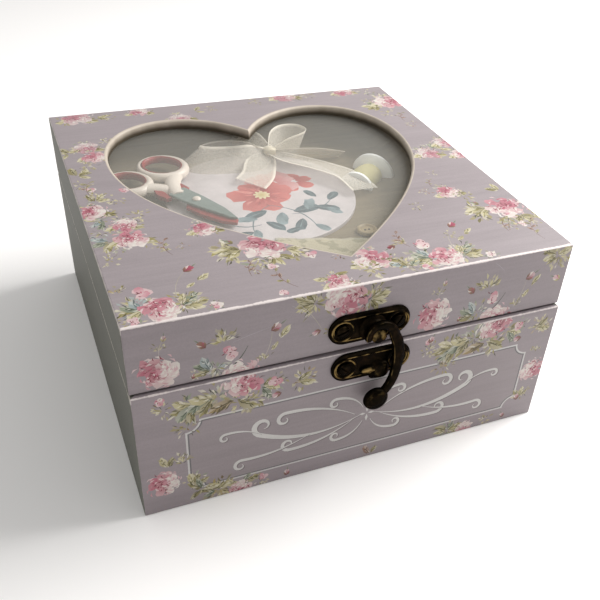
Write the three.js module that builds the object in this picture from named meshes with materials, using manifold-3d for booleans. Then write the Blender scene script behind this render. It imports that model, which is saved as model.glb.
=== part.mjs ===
// A square wooden sewing box: a hollow base, a hinged lid whose top board has a heart
// cut out over a glazed display case, and a cast hook that swings over a catch.
// Millimetres, +Z up, front towards -Y, origin at the middle of the underside.
import * as THREE from 'three';
import { mergeVertices } from 'three/addons/utils/BufferGeometryUtils.js';
import Module from 'manifold-3d';

const wasm = await Module();
wasm.setup();

// Case
const boxWidth = 200;
const baseDepth = 204;
const boxHeight = 100.5;
const baseHeight = 68;
const lidGap = 0.7;
const frontStep = 1.6;
const baseWall = 6.5;
const lidWall = 6.5;
const floorThickness = 4;
const edgeEase = 0.6;
const glueGap = 0.3;

// Lid top, its heart window and the display case below it
const panelThickness = 5;
const panelEase = 0.9;
const heartFromSides = 20;
const heartFromFront = 20.6;
const heartFromBack = 17.8;
const heartCleft = 26;
const heartTurn = 0.6;
const heartFromMiddle = -0.4;
const paneThickness = 2;
const displayDepth = 16;
const backingThickness = 3;

// Hook plate, catch plate and their screws
const plateWidth = 37.6;
const plateHeight = 14.8;
const plateThickness = 1;
const plateEase = 0.4;
const hookPlateFromMiddle = 1;
const hookPlateAboveSplit = 10.9;
const catchPlateFromMiddle = 2.6;
const catchPlateBelowSplit = 7.6;
const rimRadius = 5.6;
const rimHeight = 1;
const rimWidth = 1.4;
const rimFromEnd = 0.4;
const skirtWidth = 1.9;
const screwHeadRadius = 3;
const screwHeadHeight = 1.2;
const screwShankRadius = 1.2;
const screwLength = 5;
const slotWidth = 0.8;
const slotDepth = 0.5;
const catchRight = 4.3;
const catchDown = 4.4;
const catchWidth = 7.4;
const catchHeight = 8.4;
const catchProud = 1.8;
const catchTabWidth = 7.5;
const catchTabHeight = 2.8;
const catchTabProud = 1.4;
const catchTabDown = 3;

// Swing hook and its rivet, seen from the front
const pivotRight = 1.4;
const pivotDown = 1.4;
const eyeRadius = 5.1;
const eyeThickness = 1.6;
const rivetRadius = 1.8;
const rivetHeadRadius = 3.3;
const rivetHeadHeight = 1.8;
const turningGap = 0.35;
const armThickness = 3.2;
const armWidth = 5;
const armReach = 10.5;
const armLength = 35.4;
const armEase = 1;
const knobRight = 1.8;
const knobRadius = 5.9;
const knobDepth = 5;

// Hinges on the back
const hingeFromEnd = 38;
const hingeWidth = 24;
const leafHeight = 13;
const leafThickness = 0.9;
const knuckleRadius = 2.1;
const pinRadius = 0.9;
const pinGap = 0.3;
const knuckleGap = 0.3;
const hingeScrewInset = 4.5;
const hingeScrewRadius = 1.9;
const hingeScrewHeight = 0.8;
const hingeScrewShank = 0.9;
const hingeScrewLength = 4;

const bossSides = 28;
const smallSides = 16;

const printedBoard = { color: 0xb5a9b0, roughness: 0.6, metalness: 0 };
const paintedBoard = { color: 0x86887f, roughness: 0.7, metalness: 0 };
const bareBoard = { color: 0xb9a58a, roughness: 0.8, metalness: 0 };
const agedBronze = { color: 0x3a2d1c, roughness: 0.42, metalness: 0.9 };
const clearGlass = { color: 0xe8efee, roughness: 0.05, metalness: 0, transparent: true, opacity: 0.3 };

const box = new THREE.Group();

const frontFace = -baseDepth / 2;
const backFace = baseDepth / 2;
const lidFrontFace = frontFace + frontStep;
const lidBottom = baseHeight + lidGap;
const panelBottom = boxHeight - panelThickness;
const railTop = panelBottom - glueGap;
const paneTop = panelBottom - glueGap;
const paneBottom = paneTop - paneThickness;
const backingTop = paneBottom - displayDepth;
const backingBottom = backingTop - backingThickness;

function toSolid(geometry) {
  const plain = geometry.clone();
  plain.deleteAttribute('normal');
  plain.deleteAttribute('uv');
  const merged = mergeVertices(plain, 1e-4);
  const mesh = new wasm.Mesh({
    numProp: 3,
    vertProperties: new Float32Array(merged.attributes.position.array),
    triVerts: new Uint32Array(merged.index.array),
  });
  return new wasm.Manifold(mesh);
}

function toGeometry(solid) {
  const mesh = solid.getMesh();
  const geometry = new THREE.BufferGeometry();
  geometry.setAttribute('position', new THREE.BufferAttribute(mesh.vertProperties, 3));
  geometry.setIndex(new THREE.BufferAttribute(mesh.triVerts, 1));
  geometry.computeVertexNormals();
  return geometry;
}

function addPiece(name, geometry, finish) {
  const mesh = new THREE.Mesh(geometry, new THREE.MeshStandardMaterial(finish));
  mesh.name = name;
  box.add(mesh);
  return mesh;
}

// A flat outline made solid from z = 0 to its thickness, with both edges eased inside it.
function easedSlab(shape, thickness, ease, curveSegments) {
  const geometry = new THREE.ExtrudeGeometry(shape, {
    depth: thickness - 2 * ease,
    bevelEnabled: true,
    bevelThickness: ease,
    bevelSize: ease,
    bevelOffset: -ease,
    bevelSegments: 1,
    curveSegments,
  });
  geometry.translate(0, 0, ease);
  return geometry;
}

function rectangle(x0, y0, x1, y1) {
  return new THREE.Shape([
    new THREE.Vector2(x0, y0),
    new THREE.Vector2(x1, y0),
    new THREE.Vector2(x1, y1),
    new THREE.Vector2(x0, y1),
  ]);
}

// A board between two corners, its upper and lower edges eased.
function board(x0, y0, z0, x1, y1, z1) {
  const geometry = easedSlab(rectangle(x0, y0, x1, y1), z1 - z0, edgeEase, 1);
  geometry.translate(0, 0, z0);
  return geometry;
}

// A round post along +Z from z0 to z1.
function post(radius, z0, z1, sides) {
  const geometry = new THREE.CylinderGeometry(radius, radius, z1 - z0, sides);
  geometry.rotateX(Math.PI / 2);
  geometry.translate(0, 0, (z0 + z1) / 2);
  return geometry;
}

// A round profile turned about Z; points are [radius, z] and start and end on the axis.
function turned(points, sides) {
  const profile = points.map(([r, z]) => new THREE.Vector2(r, z));
  const geometry = new THREE.LatheGeometry(profile, sides);
  geometry.rotateX(Math.PI / 2);
  return geometry;
}

// Turns a shape drawn flat, looking at it from the front, to stand on a front face.
function ontoFront(geometry, x, y, z) {
  return geometry.clone().rotateX(Math.PI / 2).translate(x, y, z);
}

// The same for the back face, seen from behind.
function ontoBack(geometry, x, y, z) {
  return geometry.clone().rotateX(Math.PI / 2).rotateZ(Math.PI).translate(x, y, z);
}

function drilled(geometry, holes) {
  let solid = toSolid(geometry);
  for (const hole of holes) {
    solid = solid.subtract(toSolid(hole));
  }
  return toGeometry(solid);
}

// Places of the screws in the two front plates
const rimFromMiddle = plateWidth / 2 - rimRadius - rimFromEnd;
const hookPlateZ = lidBottom + hookPlateAboveSplit;
const catchPlateZ = baseHeight - catchPlateBelowSplit;
const plateSides = [
  ['left', -rimFromMiddle],
  ['right', rimFromMiddle],
];

// Places of the hinges and of their screws, which sit at the outer part of each leaf
const hingeAxisY = backFace + glueGap + knuckleRadius;
const hingeAxisZ = baseHeight + lidGap / 2;
const hingeSides = [
  ['left', -boxWidth / 2 + hingeFromEnd],
  ['right', boxWidth / 2 - hingeFromEnd],
];
const hingeScrewSpread = hingeWidth / 2 - hingeScrewInset;
const hingeScrewDrop = leafHeight - hingeScrewInset;
const hingeScrewSpots = [
  ['1', -hingeScrewSpread],
  ['2', hingeScrewSpread],
];

function frontHole(x, y, z) {
  const hole = post(screwShankRadius + glueGap, -screwLength - glueGap, glueGap, smallSides);
  return ontoFront(hole, x, y, z);
}

function backHole(x, z) {
  const hole = post(hingeScrewShank + glueGap, -hingeScrewLength - glueGap, glueGap, smallSides);
  return ontoBack(hole, x, backFace, z);
}

function hingeHoles(rise) {
  return hingeSides.flatMap(([, x]) =>
    hingeScrewSpots.map(([, spread]) => backHole(x + spread, hingeAxisZ + rise)));
}

// Base: four walls around a floor board
const halfWidth = boxWidth / 2;
const sideFront = frontFace + baseWall + glueGap;
const sideBack = backFace - baseWall - glueGap;

const baseFront = board(-halfWidth, frontFace, 0, halfWidth, frontFace + baseWall, baseHeight);
const catchHoles = plateSides.map(([, x]) =>
  frontHole(catchPlateFromMiddle + x, frontFace, catchPlateZ));
addPiece('base_front_board', drilled(baseFront, catchHoles), printedBoard);

const baseBack = board(-halfWidth, backFace - baseWall, 0, halfWidth, backFace, baseHeight);
addPiece('base_back_board', drilled(baseBack, hingeHoles(-hingeScrewDrop)), paintedBoard);

const baseLeft = board(-halfWidth, sideFront, 0, -halfWidth + baseWall, sideBack, baseHeight);
addPiece('base_left_board', baseLeft, paintedBoard);

const baseRight = board(halfWidth - baseWall, sideFront, 0, halfWidth, sideBack, baseHeight);
addPiece('base_right_board', baseRight, paintedBoard);

const floorHalf = halfWidth - baseWall - glueGap;
const baseFloor = board(-floorHalf, sideFront, 0, floorHalf, sideBack, floorThickness);
addPiece('base_floor_board', baseFloor, bareBoard);

// Lid: four rails under the top board
const railFront = lidFrontFace + lidWall + glueGap;
const railBack = backFace - lidWall - glueGap;

const lidFront = board(
  -halfWidth, lidFrontFace, lidBottom, halfWidth, lidFrontFace + lidWall, railTop);
const hookHoles = plateSides.map(([, x]) =>
  frontHole(hookPlateFromMiddle + x, lidFrontFace, hookPlateZ));
addPiece('lid_front_rail', drilled(lidFront, hookHoles), printedBoard);

const lidBack = board(-halfWidth, backFace - lidWall, lidBottom, halfWidth, backFace, railTop);
addPiece('lid_back_rail', drilled(lidBack, hingeHoles(hingeScrewDrop)), paintedBoard);

const lidLeft = board(-halfWidth, railFront, lidBottom, -halfWidth + lidWall, railBack, railTop);
addPiece('lid_left_rail', lidLeft, paintedBoard);

const lidRight = board(halfWidth - lidWall, railFront, lidBottom, halfWidth, railBack, railTop);
addPiece('lid_right_rail', lidRight, paintedBoard);

// The heart stands on its tip at (0, 0) and fills the top board up to its named margins.
const heartWidth = boxWidth - 2 * heartFromSides;
const heartLength = backFace - lidFrontFace - heartFromFront - heartFromBack;

function heartOutline() {
  const half = heartWidth / 2;
  const widest = 0.7 * heartLength;
  const side = [0.76 * half, 0.28 * heartLength, half, 0.5 * heartLength];
  const lobe = [half, 1.025 * heartLength, 0.32 * half, 1.085 * heartLength];
  const cleft = heartLength - heartCleft;
  const heart = new THREE.Path();
  heart.moveTo(0, 0);
  heart.bezierCurveTo(side[0], side[1], side[2], side[3], half, widest);
  heart.bezierCurveTo(lobe[0], lobe[1], lobe[2], lobe[3], 0, cleft);
  heart.bezierCurveTo(-lobe[2], lobe[3], -lobe[0], lobe[1], -half, widest);
  heart.bezierCurveTo(-side[2], side[3], -side[0], side[1], 0, 0);
  return heart;
}

// The outline turned about its middle and set on the top board, in the box's own X and Y.
function heartHole() {
  const middle = new THREE.Vector2(0, heartLength / 2);
  const place = new THREE.Vector2(heartFromMiddle, lidFrontFace + heartFromFront);
  const turn = THREE.MathUtils.degToRad(heartTurn);
  const points = heartOutline().getPoints(14).slice(0, -1);
  const placed = points.map((point) => point.rotateAround(middle, turn).add(place));
  return new THREE.Path(placed.reverse());
}

const panelShape = rectangle(-halfWidth, lidFrontFace, halfWidth, backFace);
panelShape.holes.push(heartHole());
const panel = easedSlab(panelShape, panelThickness, panelEase, 1);
panel.translate(0, 0, panelBottom);
addPiece('lid_top_panel', panel, printedBoard);

const insetHalf = halfWidth - lidWall - glueGap;
const pane = board(-insetHalf, railFront, paneBottom, insetHalf, railBack, paneTop);
addPiece('window_pane', pane, clearGlass);
const backing = board(-insetHalf, railFront, backingBottom, insetHalf, railBack, backingTop);
addPiece('display_backing', backing, bareBoard);

// Both front plates: a slab with round ends and a raised rim around each screw. Flat at z = 0.
function plateSlab() {
  const r = plateHeight / 2;
  const reach = plateWidth / 2 - r;
  const outline = new THREE.Shape();
  outline.absarc(reach, 0, r, -Math.PI / 2, Math.PI / 2);
  outline.absarc(-reach, 0, r, Math.PI / 2, 1.5 * Math.PI);
  return toSolid(easedSlab(outline, plateThickness, plateEase, 10));
}

function raisedRim() {
  const top = plateThickness + rimHeight;
  const foot = plateThickness / 2;
  return turned([
    [0, foot],
    [rimRadius, foot],
    [rimRadius - rimWidth / 2, top],
    [rimRadius - rimWidth, top],
    [screwHeadRadius + glueGap, plateThickness],
    [0, plateThickness],
  ], bossSides);
}

function plateWithRims() {
  let plate = plateSlab();
  for (const side of [-1, 1]) {
    plate = plate.add(toSolid(raisedRim().translate(side * rimFromMiddle, 0, 0)));
  }
  return plate;
}

function plateScrewHoles(plate) {
  const through = plateThickness + rimHeight + 1;
  for (const side of [-1, 1]) {
    const hole = post(screwShankRadius + glueGap, -1, through, smallSides);
    plate = plate.subtract(toSolid(hole.translate(side * rimFromMiddle, 0, 0)));
  }
  return plate;
}

// A cross-slotted screw whose head rests at z = 0 and whose shank points to -Z.
function crossScrew(headRadius, headHeight, shankRadius, length, slot, sides) {
  const body = toSolid(turned([
    [0, -length],
    [shankRadius, -length + shankRadius],
    [shankRadius, 0],
    [headRadius, 0],
    [0.8 * headRadius, 0.7 * headHeight],
    [0, headHeight],
  ], sides));
  const arm = 1.3 * headRadius;
  const bars = [[arm, slotWidth], [slotWidth, arm]].map(([w, h]) =>
    toSolid(new THREE.BoxGeometry(w, h, 2 * slot).translate(0, 0, headHeight)));
  return toGeometry(body.subtract(bars[0]).subtract(bars[1]));
}

// A low round skirt that carries the rivet's boss, or the catch, out past the plate's edge.
function skirt(radius) {
  return turned([
    [0, 0],
    [radius + skirtWidth, 0],
    [radius + skirtWidth - plateEase, plateThickness],
    [radius, plateThickness + rimHeight],
    [0, plateThickness + rimHeight],
  ], bossSides);
}

// Hook plate on the lid: a round boss carries the rivet a little below the screws' line.
const pivotX = hookPlateFromMiddle + pivotRight;
const pivotZ = hookPlateZ - pivotDown;
const lidPlateBack = lidFrontFace - glueGap;
const catchPlateBack = frontFace - glueGap;
const catchFront = frontStep + glueGap + plateThickness + catchProud;
const armBack = catchFront + turningGap;
const bossTop = armBack - turningGap - glueGap;
const bossRadius = eyeRadius - skirtWidth / 4;

const boss = post(bossRadius, 0, bossTop, bossSides).translate(pivotRight, -pivotDown, 0);
const bossSkirt = skirt(bossRadius).translate(pivotRight, -pivotDown, 0);
const rivetHole = post(rivetRadius + glueGap, -1, bossTop + 1, smallSides);
rivetHole.translate(pivotRight, -pivotDown, 0);

let hookPlate = plateWithRims().add(toSolid(bossSkirt)).add(toSolid(boss));
hookPlate = plateScrewHoles(hookPlate).subtract(toSolid(rivetHole));
const hookPlateAt = [hookPlateFromMiddle, lidPlateBack, hookPlateZ];
addPiece('hook_plate', ontoFront(toGeometry(hookPlate), ...hookPlateAt), agedBronze);

// Catch plate on the base: an upright nub that the hook's arm lies against, and a low tab.
const nub = easedSlab(
  rectangle(-catchWidth / 2, -catchHeight / 2, catchWidth / 2, catchHeight / 2),
  plateThickness + catchProud, plateEase, 1);
nub.translate(catchRight, -catchDown, 0);
const tab = easedSlab(
  rectangle(-catchTabWidth, -catchTabHeight / 2, 0, catchTabHeight / 2),
  plateThickness + catchTabProud, plateEase, 1);
tab.translate(catchRight - catchWidth / 4, -catchTabDown, 0);
const catchSkirt = skirt(catchWidth / 2).translate(catchRight, -catchDown, 0);

let catchPlate = plateWithRims().add(toSolid(catchSkirt)).add(toSolid(nub)).add(toSolid(tab));
catchPlate = plateScrewHoles(catchPlate);
const catchPlateAt = [catchPlateFromMiddle, catchPlateBack, catchPlateZ];
addPiece('catch_plate', ontoFront(toGeometry(catchPlate), ...catchPlateAt), agedBronze);

const plateScrew = crossScrew(
  screwHeadRadius, screwHeadHeight, screwShankRadius, screwLength, slotDepth, smallSides);
const seat = plateThickness + glueGap;
for (const [side, x] of plateSides) {
  const inLid = [hookPlateFromMiddle + x, lidPlateBack - seat, hookPlateZ];
  addPiece(`hook_screw_${side}`, ontoFront(plateScrew, ...inLid), agedBronze);
  const inBase = [catchPlateFromMiddle + x, catchPlateBack - seat, catchPlateZ];
  addPiece(`catch_screw_${side}`, ontoFront(plateScrew, ...inBase), agedBronze);
}

// Rivet: its shaft runs through the boss and the hook's eye, its domed head holds the hook.
const headBack = armBack - glueGap + eyeThickness + turningGap;
const rivet = turned([
  [0, 0],
  [rivetRadius, 0],
  [rivetRadius, headBack],
  [rivetHeadRadius, headBack],
  [0.93 * rivetHeadRadius, headBack + 0.45 * rivetHeadHeight],
  [0.6 * rivetHeadRadius, headBack + 0.85 * rivetHeadHeight],
  [0, headBack + rivetHeadHeight],
], bossSides);
addPiece('hook_rivet', ontoFront(rivet, pivotX, lidPlateBack, pivotZ), agedBronze);

// Swing hook: an eye sunk round the rivet's head, an arm that curls over it and down to a
// round knob. Drawn about the rivet; the arm keeps its shape as shares of its reach and length.
function armOutline() {
  const line = new THREE.CatmullRomCurve3([
    new THREE.Vector3(-0.68 * eyeRadius, 0.3 * eyeRadius, 0),
    new THREE.Vector3(-0.28 * eyeRadius, 0.82 * eyeRadius, 0),
    new THREE.Vector3(0.36 * eyeRadius, 0.92 * eyeRadius, 0),
    new THREE.Vector3(0.48 * armReach, 0.55 * eyeRadius, 0),
    new THREE.Vector3(0.72 * armReach, -0.05 * armLength, 0),
    new THREE.Vector3(0.9 * armReach, -0.18 * armLength, 0),
    new THREE.Vector3(armReach, -0.37 * armLength, 0),
    new THREE.Vector3(0.98 * armReach, -0.56 * armLength, 0),
    new THREE.Vector3(0.88 * armReach, -0.73 * armLength, 0),
    new THREE.Vector3(0.64 * armReach, -0.88 * armLength, 0),
    new THREE.Vector3(knobRight, -armLength, 0),
  ]);
  const steps = 28;
  const left = [];
  const right = [];
  for (let i = 0; i <= steps; i += 1) {
    const at = line.getPointAt(i / steps);
    const along = line.getTangentAt(i / steps);
    const half = armWidth * (0.35 + 0.17 * Math.sin(Math.PI * (i / steps)));
    left.push(new THREE.Vector2(at.x - along.y * half, at.y + along.x * half));
    right.push(new THREE.Vector2(at.x + along.y * half, at.y - along.x * half));
  }
  return new THREE.Shape([...right, ...left.reverse()]);
}

const arm = toSolid(easedSlab(armOutline(), armThickness, armEase, 1));
const eye = toSolid(turned([
  [0, 0],
  [eyeRadius - armEase / 2, 0],
  [eyeRadius, armEase / 2],
  [eyeRadius, armThickness - armEase],
  [eyeRadius - armEase, armThickness],
  [0, armThickness],
], bossSides));
const knob = toSolid(turned([
  [0, 0],
  [0.8 * knobRadius, 0],
  [knobRadius, 0.3 * knobDepth],
  [0.88 * knobRadius, 0.66 * knobDepth],
  [0.5 * knobRadius, 0.94 * knobDepth],
  [0, knobDepth],
], bossSides).translate(knobRight, -armLength, 0));
const eyeHole = toSolid(post(rivetRadius + turningGap, -1, armThickness + 1, smallSides));
const headWell = toSolid(
  post(rivetHeadRadius + turningGap, eyeThickness, armThickness + 1, bossSides));
const hook = toGeometry(arm.add(eye).add(knob).subtract(eyeHole).subtract(headWell));
addPiece('swing_hook', ontoFront(hook, pivotX, lidFrontFace - armBack, pivotZ), agedBronze);

// Back hinges: a leaf with its own knuckles. Drawn from behind: x to the right, y up from the
// axis, z away from the box, with the leaf's back on z = 0.
const knuckleCount = 3;
const knuckleLength = (hingeWidth - (knuckleCount - 1) * knuckleGap) / knuckleCount;

function alongX(radius, x0, x1) {
  const bar = new THREE.CylinderGeometry(radius, radius, x1 - x0, smallSides);
  return bar.rotateZ(Math.PI / 2).translate((x0 + x1) / 2, 0, knuckleRadius);
}

function hingeLeaf(ownKnuckles, up) {
  const clear = knuckleRadius + knuckleGap;
  const slab = new THREE.BoxGeometry(hingeWidth, leafHeight - clear, leafThickness);
  slab.translate(0, up * (leafHeight + clear) / 2, leafThickness / 2);
  let leaf = toSolid(slab);
  for (const index of ownKnuckles) {
    const start = -hingeWidth / 2 + index * (knuckleLength + knuckleGap);
    const strap = new THREE.BoxGeometry(knuckleLength, 2 * clear, leafThickness);
    strap.translate(start + knuckleLength / 2, up * clear, leafThickness / 2);
    leaf = leaf.add(toSolid(strap));
    leaf = leaf.add(toSolid(alongX(knuckleRadius, start, start + knuckleLength)));
  }
  leaf = leaf.subtract(toSolid(alongX(pinRadius + pinGap, -hingeWidth, hingeWidth)));
  for (const [, spread] of hingeScrewSpots) {
    const hole = post(hingeScrewShank + glueGap, -1, leafThickness + 1, smallSides);
    leaf = leaf.subtract(toSolid(hole.translate(spread, up * hingeScrewDrop, 0)));
  }
  return toGeometry(leaf);
}

const leafBack = backFace + glueGap;
const baseLeaf = hingeLeaf([0, 2], -1);
const lidLeaf = hingeLeaf([1], 1);
const hingePin = alongX(pinRadius, -hingeWidth / 2, hingeWidth / 2);
const hingeScrew = crossScrew(
  hingeScrewRadius, hingeScrewHeight, hingeScrewShank, hingeScrewLength, slotDepth / 2, smallSides);

for (const [side, x] of hingeSides) {
  addPiece(`base_hinge_leaf_${side}`, ontoBack(baseLeaf, x, leafBack, hingeAxisZ), agedBronze);
  addPiece(`lid_hinge_leaf_${side}`, ontoBack(lidLeaf, x, leafBack, hingeAxisZ), agedBronze);
  addPiece(`hinge_pin_${side}`, ontoBack(hingePin, x, leafBack, hingeAxisZ), agedBronze);
  for (const [number, spread] of hingeScrewSpots) {
    const seat = leafBack + leafThickness + glueGap;
    const low = ontoBack(hingeScrew, x + spread, seat, hingeAxisZ - hingeScrewDrop);
    addPiece(`base_hinge_screw_${side}_${number}`, low, agedBronze);
    const high = ontoBack(hingeScrew, x + spread, seat, hingeAxisZ + hingeScrewDrop);
    addPiece(`lid_hinge_screw_${side}_${number}`, high, agedBronze);
  }
}

export default box;
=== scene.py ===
import math
import random

import bmesh
import bpy
from mathutils import Matrix, Vector
from mathutils.geometry import delaunay_2d_cdt


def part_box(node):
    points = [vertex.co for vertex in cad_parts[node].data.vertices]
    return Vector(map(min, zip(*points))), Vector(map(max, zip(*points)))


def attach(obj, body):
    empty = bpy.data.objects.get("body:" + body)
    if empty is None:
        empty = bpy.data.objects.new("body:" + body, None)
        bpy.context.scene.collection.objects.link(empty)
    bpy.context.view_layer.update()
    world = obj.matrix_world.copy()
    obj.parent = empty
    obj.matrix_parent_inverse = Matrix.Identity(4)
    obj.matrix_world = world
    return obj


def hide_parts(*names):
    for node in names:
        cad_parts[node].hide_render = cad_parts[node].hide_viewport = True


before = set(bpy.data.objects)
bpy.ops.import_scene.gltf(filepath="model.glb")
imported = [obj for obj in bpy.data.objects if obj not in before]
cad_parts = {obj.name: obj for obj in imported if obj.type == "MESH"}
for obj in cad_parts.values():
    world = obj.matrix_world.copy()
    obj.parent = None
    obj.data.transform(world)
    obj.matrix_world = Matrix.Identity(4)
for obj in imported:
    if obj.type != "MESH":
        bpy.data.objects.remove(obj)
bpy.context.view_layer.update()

# Camera
# The box is seen over its front left corner from 27 cm above the table, with the camera
# tipped a few degrees.

heading, dip, roll = math.radians(25.4), math.radians(37.6), math.radians(4.2)
forward = Vector((
    math.sin(heading) * math.cos(dip),
    math.cos(heading) * math.cos(dip),
    -math.sin(dip),
))
level_right = Vector((math.cos(heading), -math.sin(heading), 0))
level_up = level_right.cross(forward)
right = level_right * math.cos(roll) + level_up * math.sin(roll)
up = level_up * math.cos(roll) - level_right * math.sin(roll)


def placed(name, data):
    """A new object in the scene."""
    made = bpy.data.objects.new(name, data)
    bpy.context.scene.collection.objects.link(made)
    return made


camera = placed("camera", bpy.data.cameras.new("camera"))
camera.matrix_world = Matrix((right, up, -forward)).transposed().to_4x4()
camera.location = (-0.1246, -0.3305, 0.2722)
camera.data.sensor_width = 36
camera.data.lens = 46.6
camera.data.shift_x = -0.055
camera.data.shift_y = 0.064
camera.data.clip_start = 0.01
bpy.context.scene.camera = camera


# Shader maths and nodes
# Every finish below is one Principled shader with a few nodes in front of it. A Wire is the
# end of one of those nodes, so that sums on it are written as ordinary Python.

class Wire:
    """An output socket in a finish, which adds Math nodes as it is added, multiplied and so on."""

    def __init__(self, finish, socket):
        self.finish = finish
        self.socket = socket

    def maths(self, operation, *others):
        return self.finish.node("Math", {"operation": operation}, dict(enumerate((self, *others))))

    def __add__(self, other):
        return self.maths("ADD", other)

    def __sub__(self, other):
        return self.maths("SUBTRACT", other)

    def __rsub__(self, other):
        return self.finish.node("Math", {"operation": "SUBTRACT"}, {0: other, 1: self})

    def __mul__(self, other):
        return self.maths("MULTIPLY", other)

    def __abs__(self):
        return self.maths("ABSOLUTE")

    __radd__ = __add__
    __rmul__ = __mul__

    def least(self, other):
        return self.maths("MINIMUM", other)

    def most(self, other):
        return self.maths("MAXIMUM", other)


class Finish:
    """A material made round one Principled shader."""

    def __init__(self, name, plain):
        self.material = bpy.data.materials.new(name)
        self.material.use_nodes = True
        self.tree = self.material.node_tree
        self.shader = self.tree.nodes["Principled BSDF"]
        self.feed(plain)

    def join(self, value, socket):
        if isinstance(value, Wire):
            self.tree.links.new(value.socket, socket)
        else:
            socket.default_value = value

    def feed(self, sockets):
        """Sets or links the shader's own sockets."""
        for name, value in sockets.items():
            self.join(value, self.shader.inputs[name])

    def node(self, kind, settings, sockets, output=0):
        """Adds a node: its settings first, then the values or wires of its sockets."""
        made = self.tree.nodes.new("ShaderNode" + kind)
        for name, value in settings.items():
            if name == "stops":
                ramp = made.color_ramp
                ramp.elements.remove(ramp.elements[1])
                ramp.elements[0].position, ramp.elements[0].color = value[0]
                for position, colour in value[1:]:
                    ramp.elements.new(position).color = colour
            else:
                setattr(made, name, value)
        for name, value in sockets.items():
            self.join(value, made.inputs[name])
        return Wire(self, made.outputs[output])

    def place(self, stretch=(1, 1, 1)):
        """The point on the piece, in metres, with each axis multiplied by its stretch."""
        point = self.node("TexCoord", {}, {}, "Object")
        if tuple(stretch) == (1, 1, 1):
            return point
        return self.node("Mapping", {}, {"Vector": point, "Scale": stretch})

    def axes(self):
        """The point's x, y and z, in metres."""
        split = self.node("SeparateXYZ", {}, {"Vector": self.place()})
        return [Wire(self, split.socket.node.outputs[axis]) for axis in range(3)]

    def kept(self, name, output=0):
        """What the piece's own mesh keeps under this name."""
        return self.node("Attribute", {"attribute_name": name, "attribute_type": "GEOMETRY"}, {}, output)

    def noise(self, scale, detail=3, stretch=(1, 1, 1), rough=0.5):
        settings = {"noise_dimensions": "3D"}
        sockets = {"Vector": self.place(stretch), "Scale": scale, "Detail": detail, "Roughness": rough}
        return self.node("TexNoise", settings, sockets)

    def ramp(self, value, low, high, start=0, end=1):
        """Goes smoothly from start to end as the value goes from low to high."""
        settings = {"interpolation_type": "SMOOTHSTEP"}
        sockets = {"Value": value, 1: low, 2: high, 3: start, 4: end}
        return self.node("MapRange", settings, sockets)

    def mix(self, first, second, share, how="MIX"):
        """Lays the second colour over the first."""
        settings = {"data_type": "RGBA", "blend_type": how}
        return self.node("Mix", settings, {0: share, 6: first, 7: second}, 2)

    def shade(self, colour, amount):
        """The colour with its brightness multiplied by a number that varies."""
        grey = self.node("CombineColor", {}, {0: amount, 1: amount, 2: amount})
        return self.mix(colour, grey, 1, "MULTIPLY")

    def bump(self, height, distance, strength=1):
        sockets = {"Height": height, "Distance": distance, "Strength": strength}
        return self.node("Bump", {}, sockets)


def two_toned(name, plain, first, second, *pattern):
    """A finish that wanders between two colours, following a noise."""
    finish = Finish(name, plain)
    finish.feed({"Base Color": finish.mix(first, second, finish.noise(*pattern))})
    return finish


def pigment(red, green, blue):
    """The colour that a screen shows as these three numbers out of 255."""
    shares = [channel / 255 for channel in (red, green, blue)]
    linear = [((share + 0.055) / 1.055) ** 2.4 if share > 0.04 else share / 12.92 for share in shares]
    return (*linear, 1)


def blended(first, second, share):
    return tuple(a + (b - a) * share for a, b in zip(first, second))


# Floor and light
# A plain pale table under an even pale surround, with one soft light close by on the right,
# so that the front and the left side fall into shade.

floor_mesh = bpy.data.meshes.new("floor")
floor_reach = 30
floor_mesh.from_pydata(
    [(x * floor_reach, y * floor_reach, 0) for x, y in ((-1, -1), (1, -1), (1, 1), (-1, 1))],
    [], [(0, 1, 2, 3)])
floor = placed("floor", floor_mesh)
floor_paper = Finish("floor_paper", {"Base Color": pigment(247, 246, 245), "Roughness": 0.9})
floor_paper.feed({
    "Normal": floor_paper.bump(floor_paper.noise(400), 0.0002, 0.2),
})
floor_mesh.materials.append(floor_paper.material)

surround = bpy.data.worlds.new("surround")
surround.use_nodes = True
surround.node_tree.nodes["Background"].inputs["Color"].default_value = (1, 0.99, 0.98, 1)
surround.node_tree.nodes["Background"].inputs["Strength"].default_value = 0.64
bpy.context.scene.world = surround
bpy.context.scene.view_settings.view_transform = "Standard"

key_lamp = bpy.data.lights.new("key_light", "AREA")
key_lamp.size = 0.55
key_lamp.energy = 11.2
key_lamp.color = (1, 0.985, 0.97)
key_light = placed("key_light", key_lamp)
key_light.location = (0.6, 0.02, 0.57)
key_aim = Vector((0, 0, 0.05)) - key_light.location
key_light.rotation_euler = key_aim.to_track_quat("-Z", "Y").to_euler()


# Rose print
# The boards carry a faded rose chintz on a mauve-grey ground, printed in soft brush strokes.
# Each stroke is a small flat shape in the board's face, with its colour running from one
# end to the other.

ground = pigment(178, 167, 170)
cream = pigment(250, 244, 234)
petal_pale = pigment(238, 206, 207)
petal_pink = pigment(222, 150, 163)
petal_deep = pigment(200, 96, 120)
petal_core = pigment(146, 38, 64)
bramble = pigment(66, 44, 40)
moss = pigment(52, 52, 34)
olive = (pigment(114, 105, 54), pigment(176, 165, 102))
spring = (pigment(162, 152, 90), pigment(224, 214, 166))
sage = (pigment(92, 106, 84), pigment(160, 168, 140))
slate = (pigment(108, 126, 130), pigment(184, 198, 194))
russet = (pigment(108, 66, 56), pigment(170, 128, 104))
straw = (pigment(120, 96, 44), pigment(186, 164, 96))
fresh, mossy, mixed = (spring, olive), (olive, spring), (olive, spring, sage)


def pointing(angle):
    """One millimetre in this direction."""
    return Vector((math.cos(angle), math.sin(angle)))


def area_inside(points):
    """Twice the area that the points go round: less than nothing if they go round clockwise."""
    return sum(a.x * b.y - b.x * a.y for a, b in zip(points, points[1:] + points[:1]))


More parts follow.
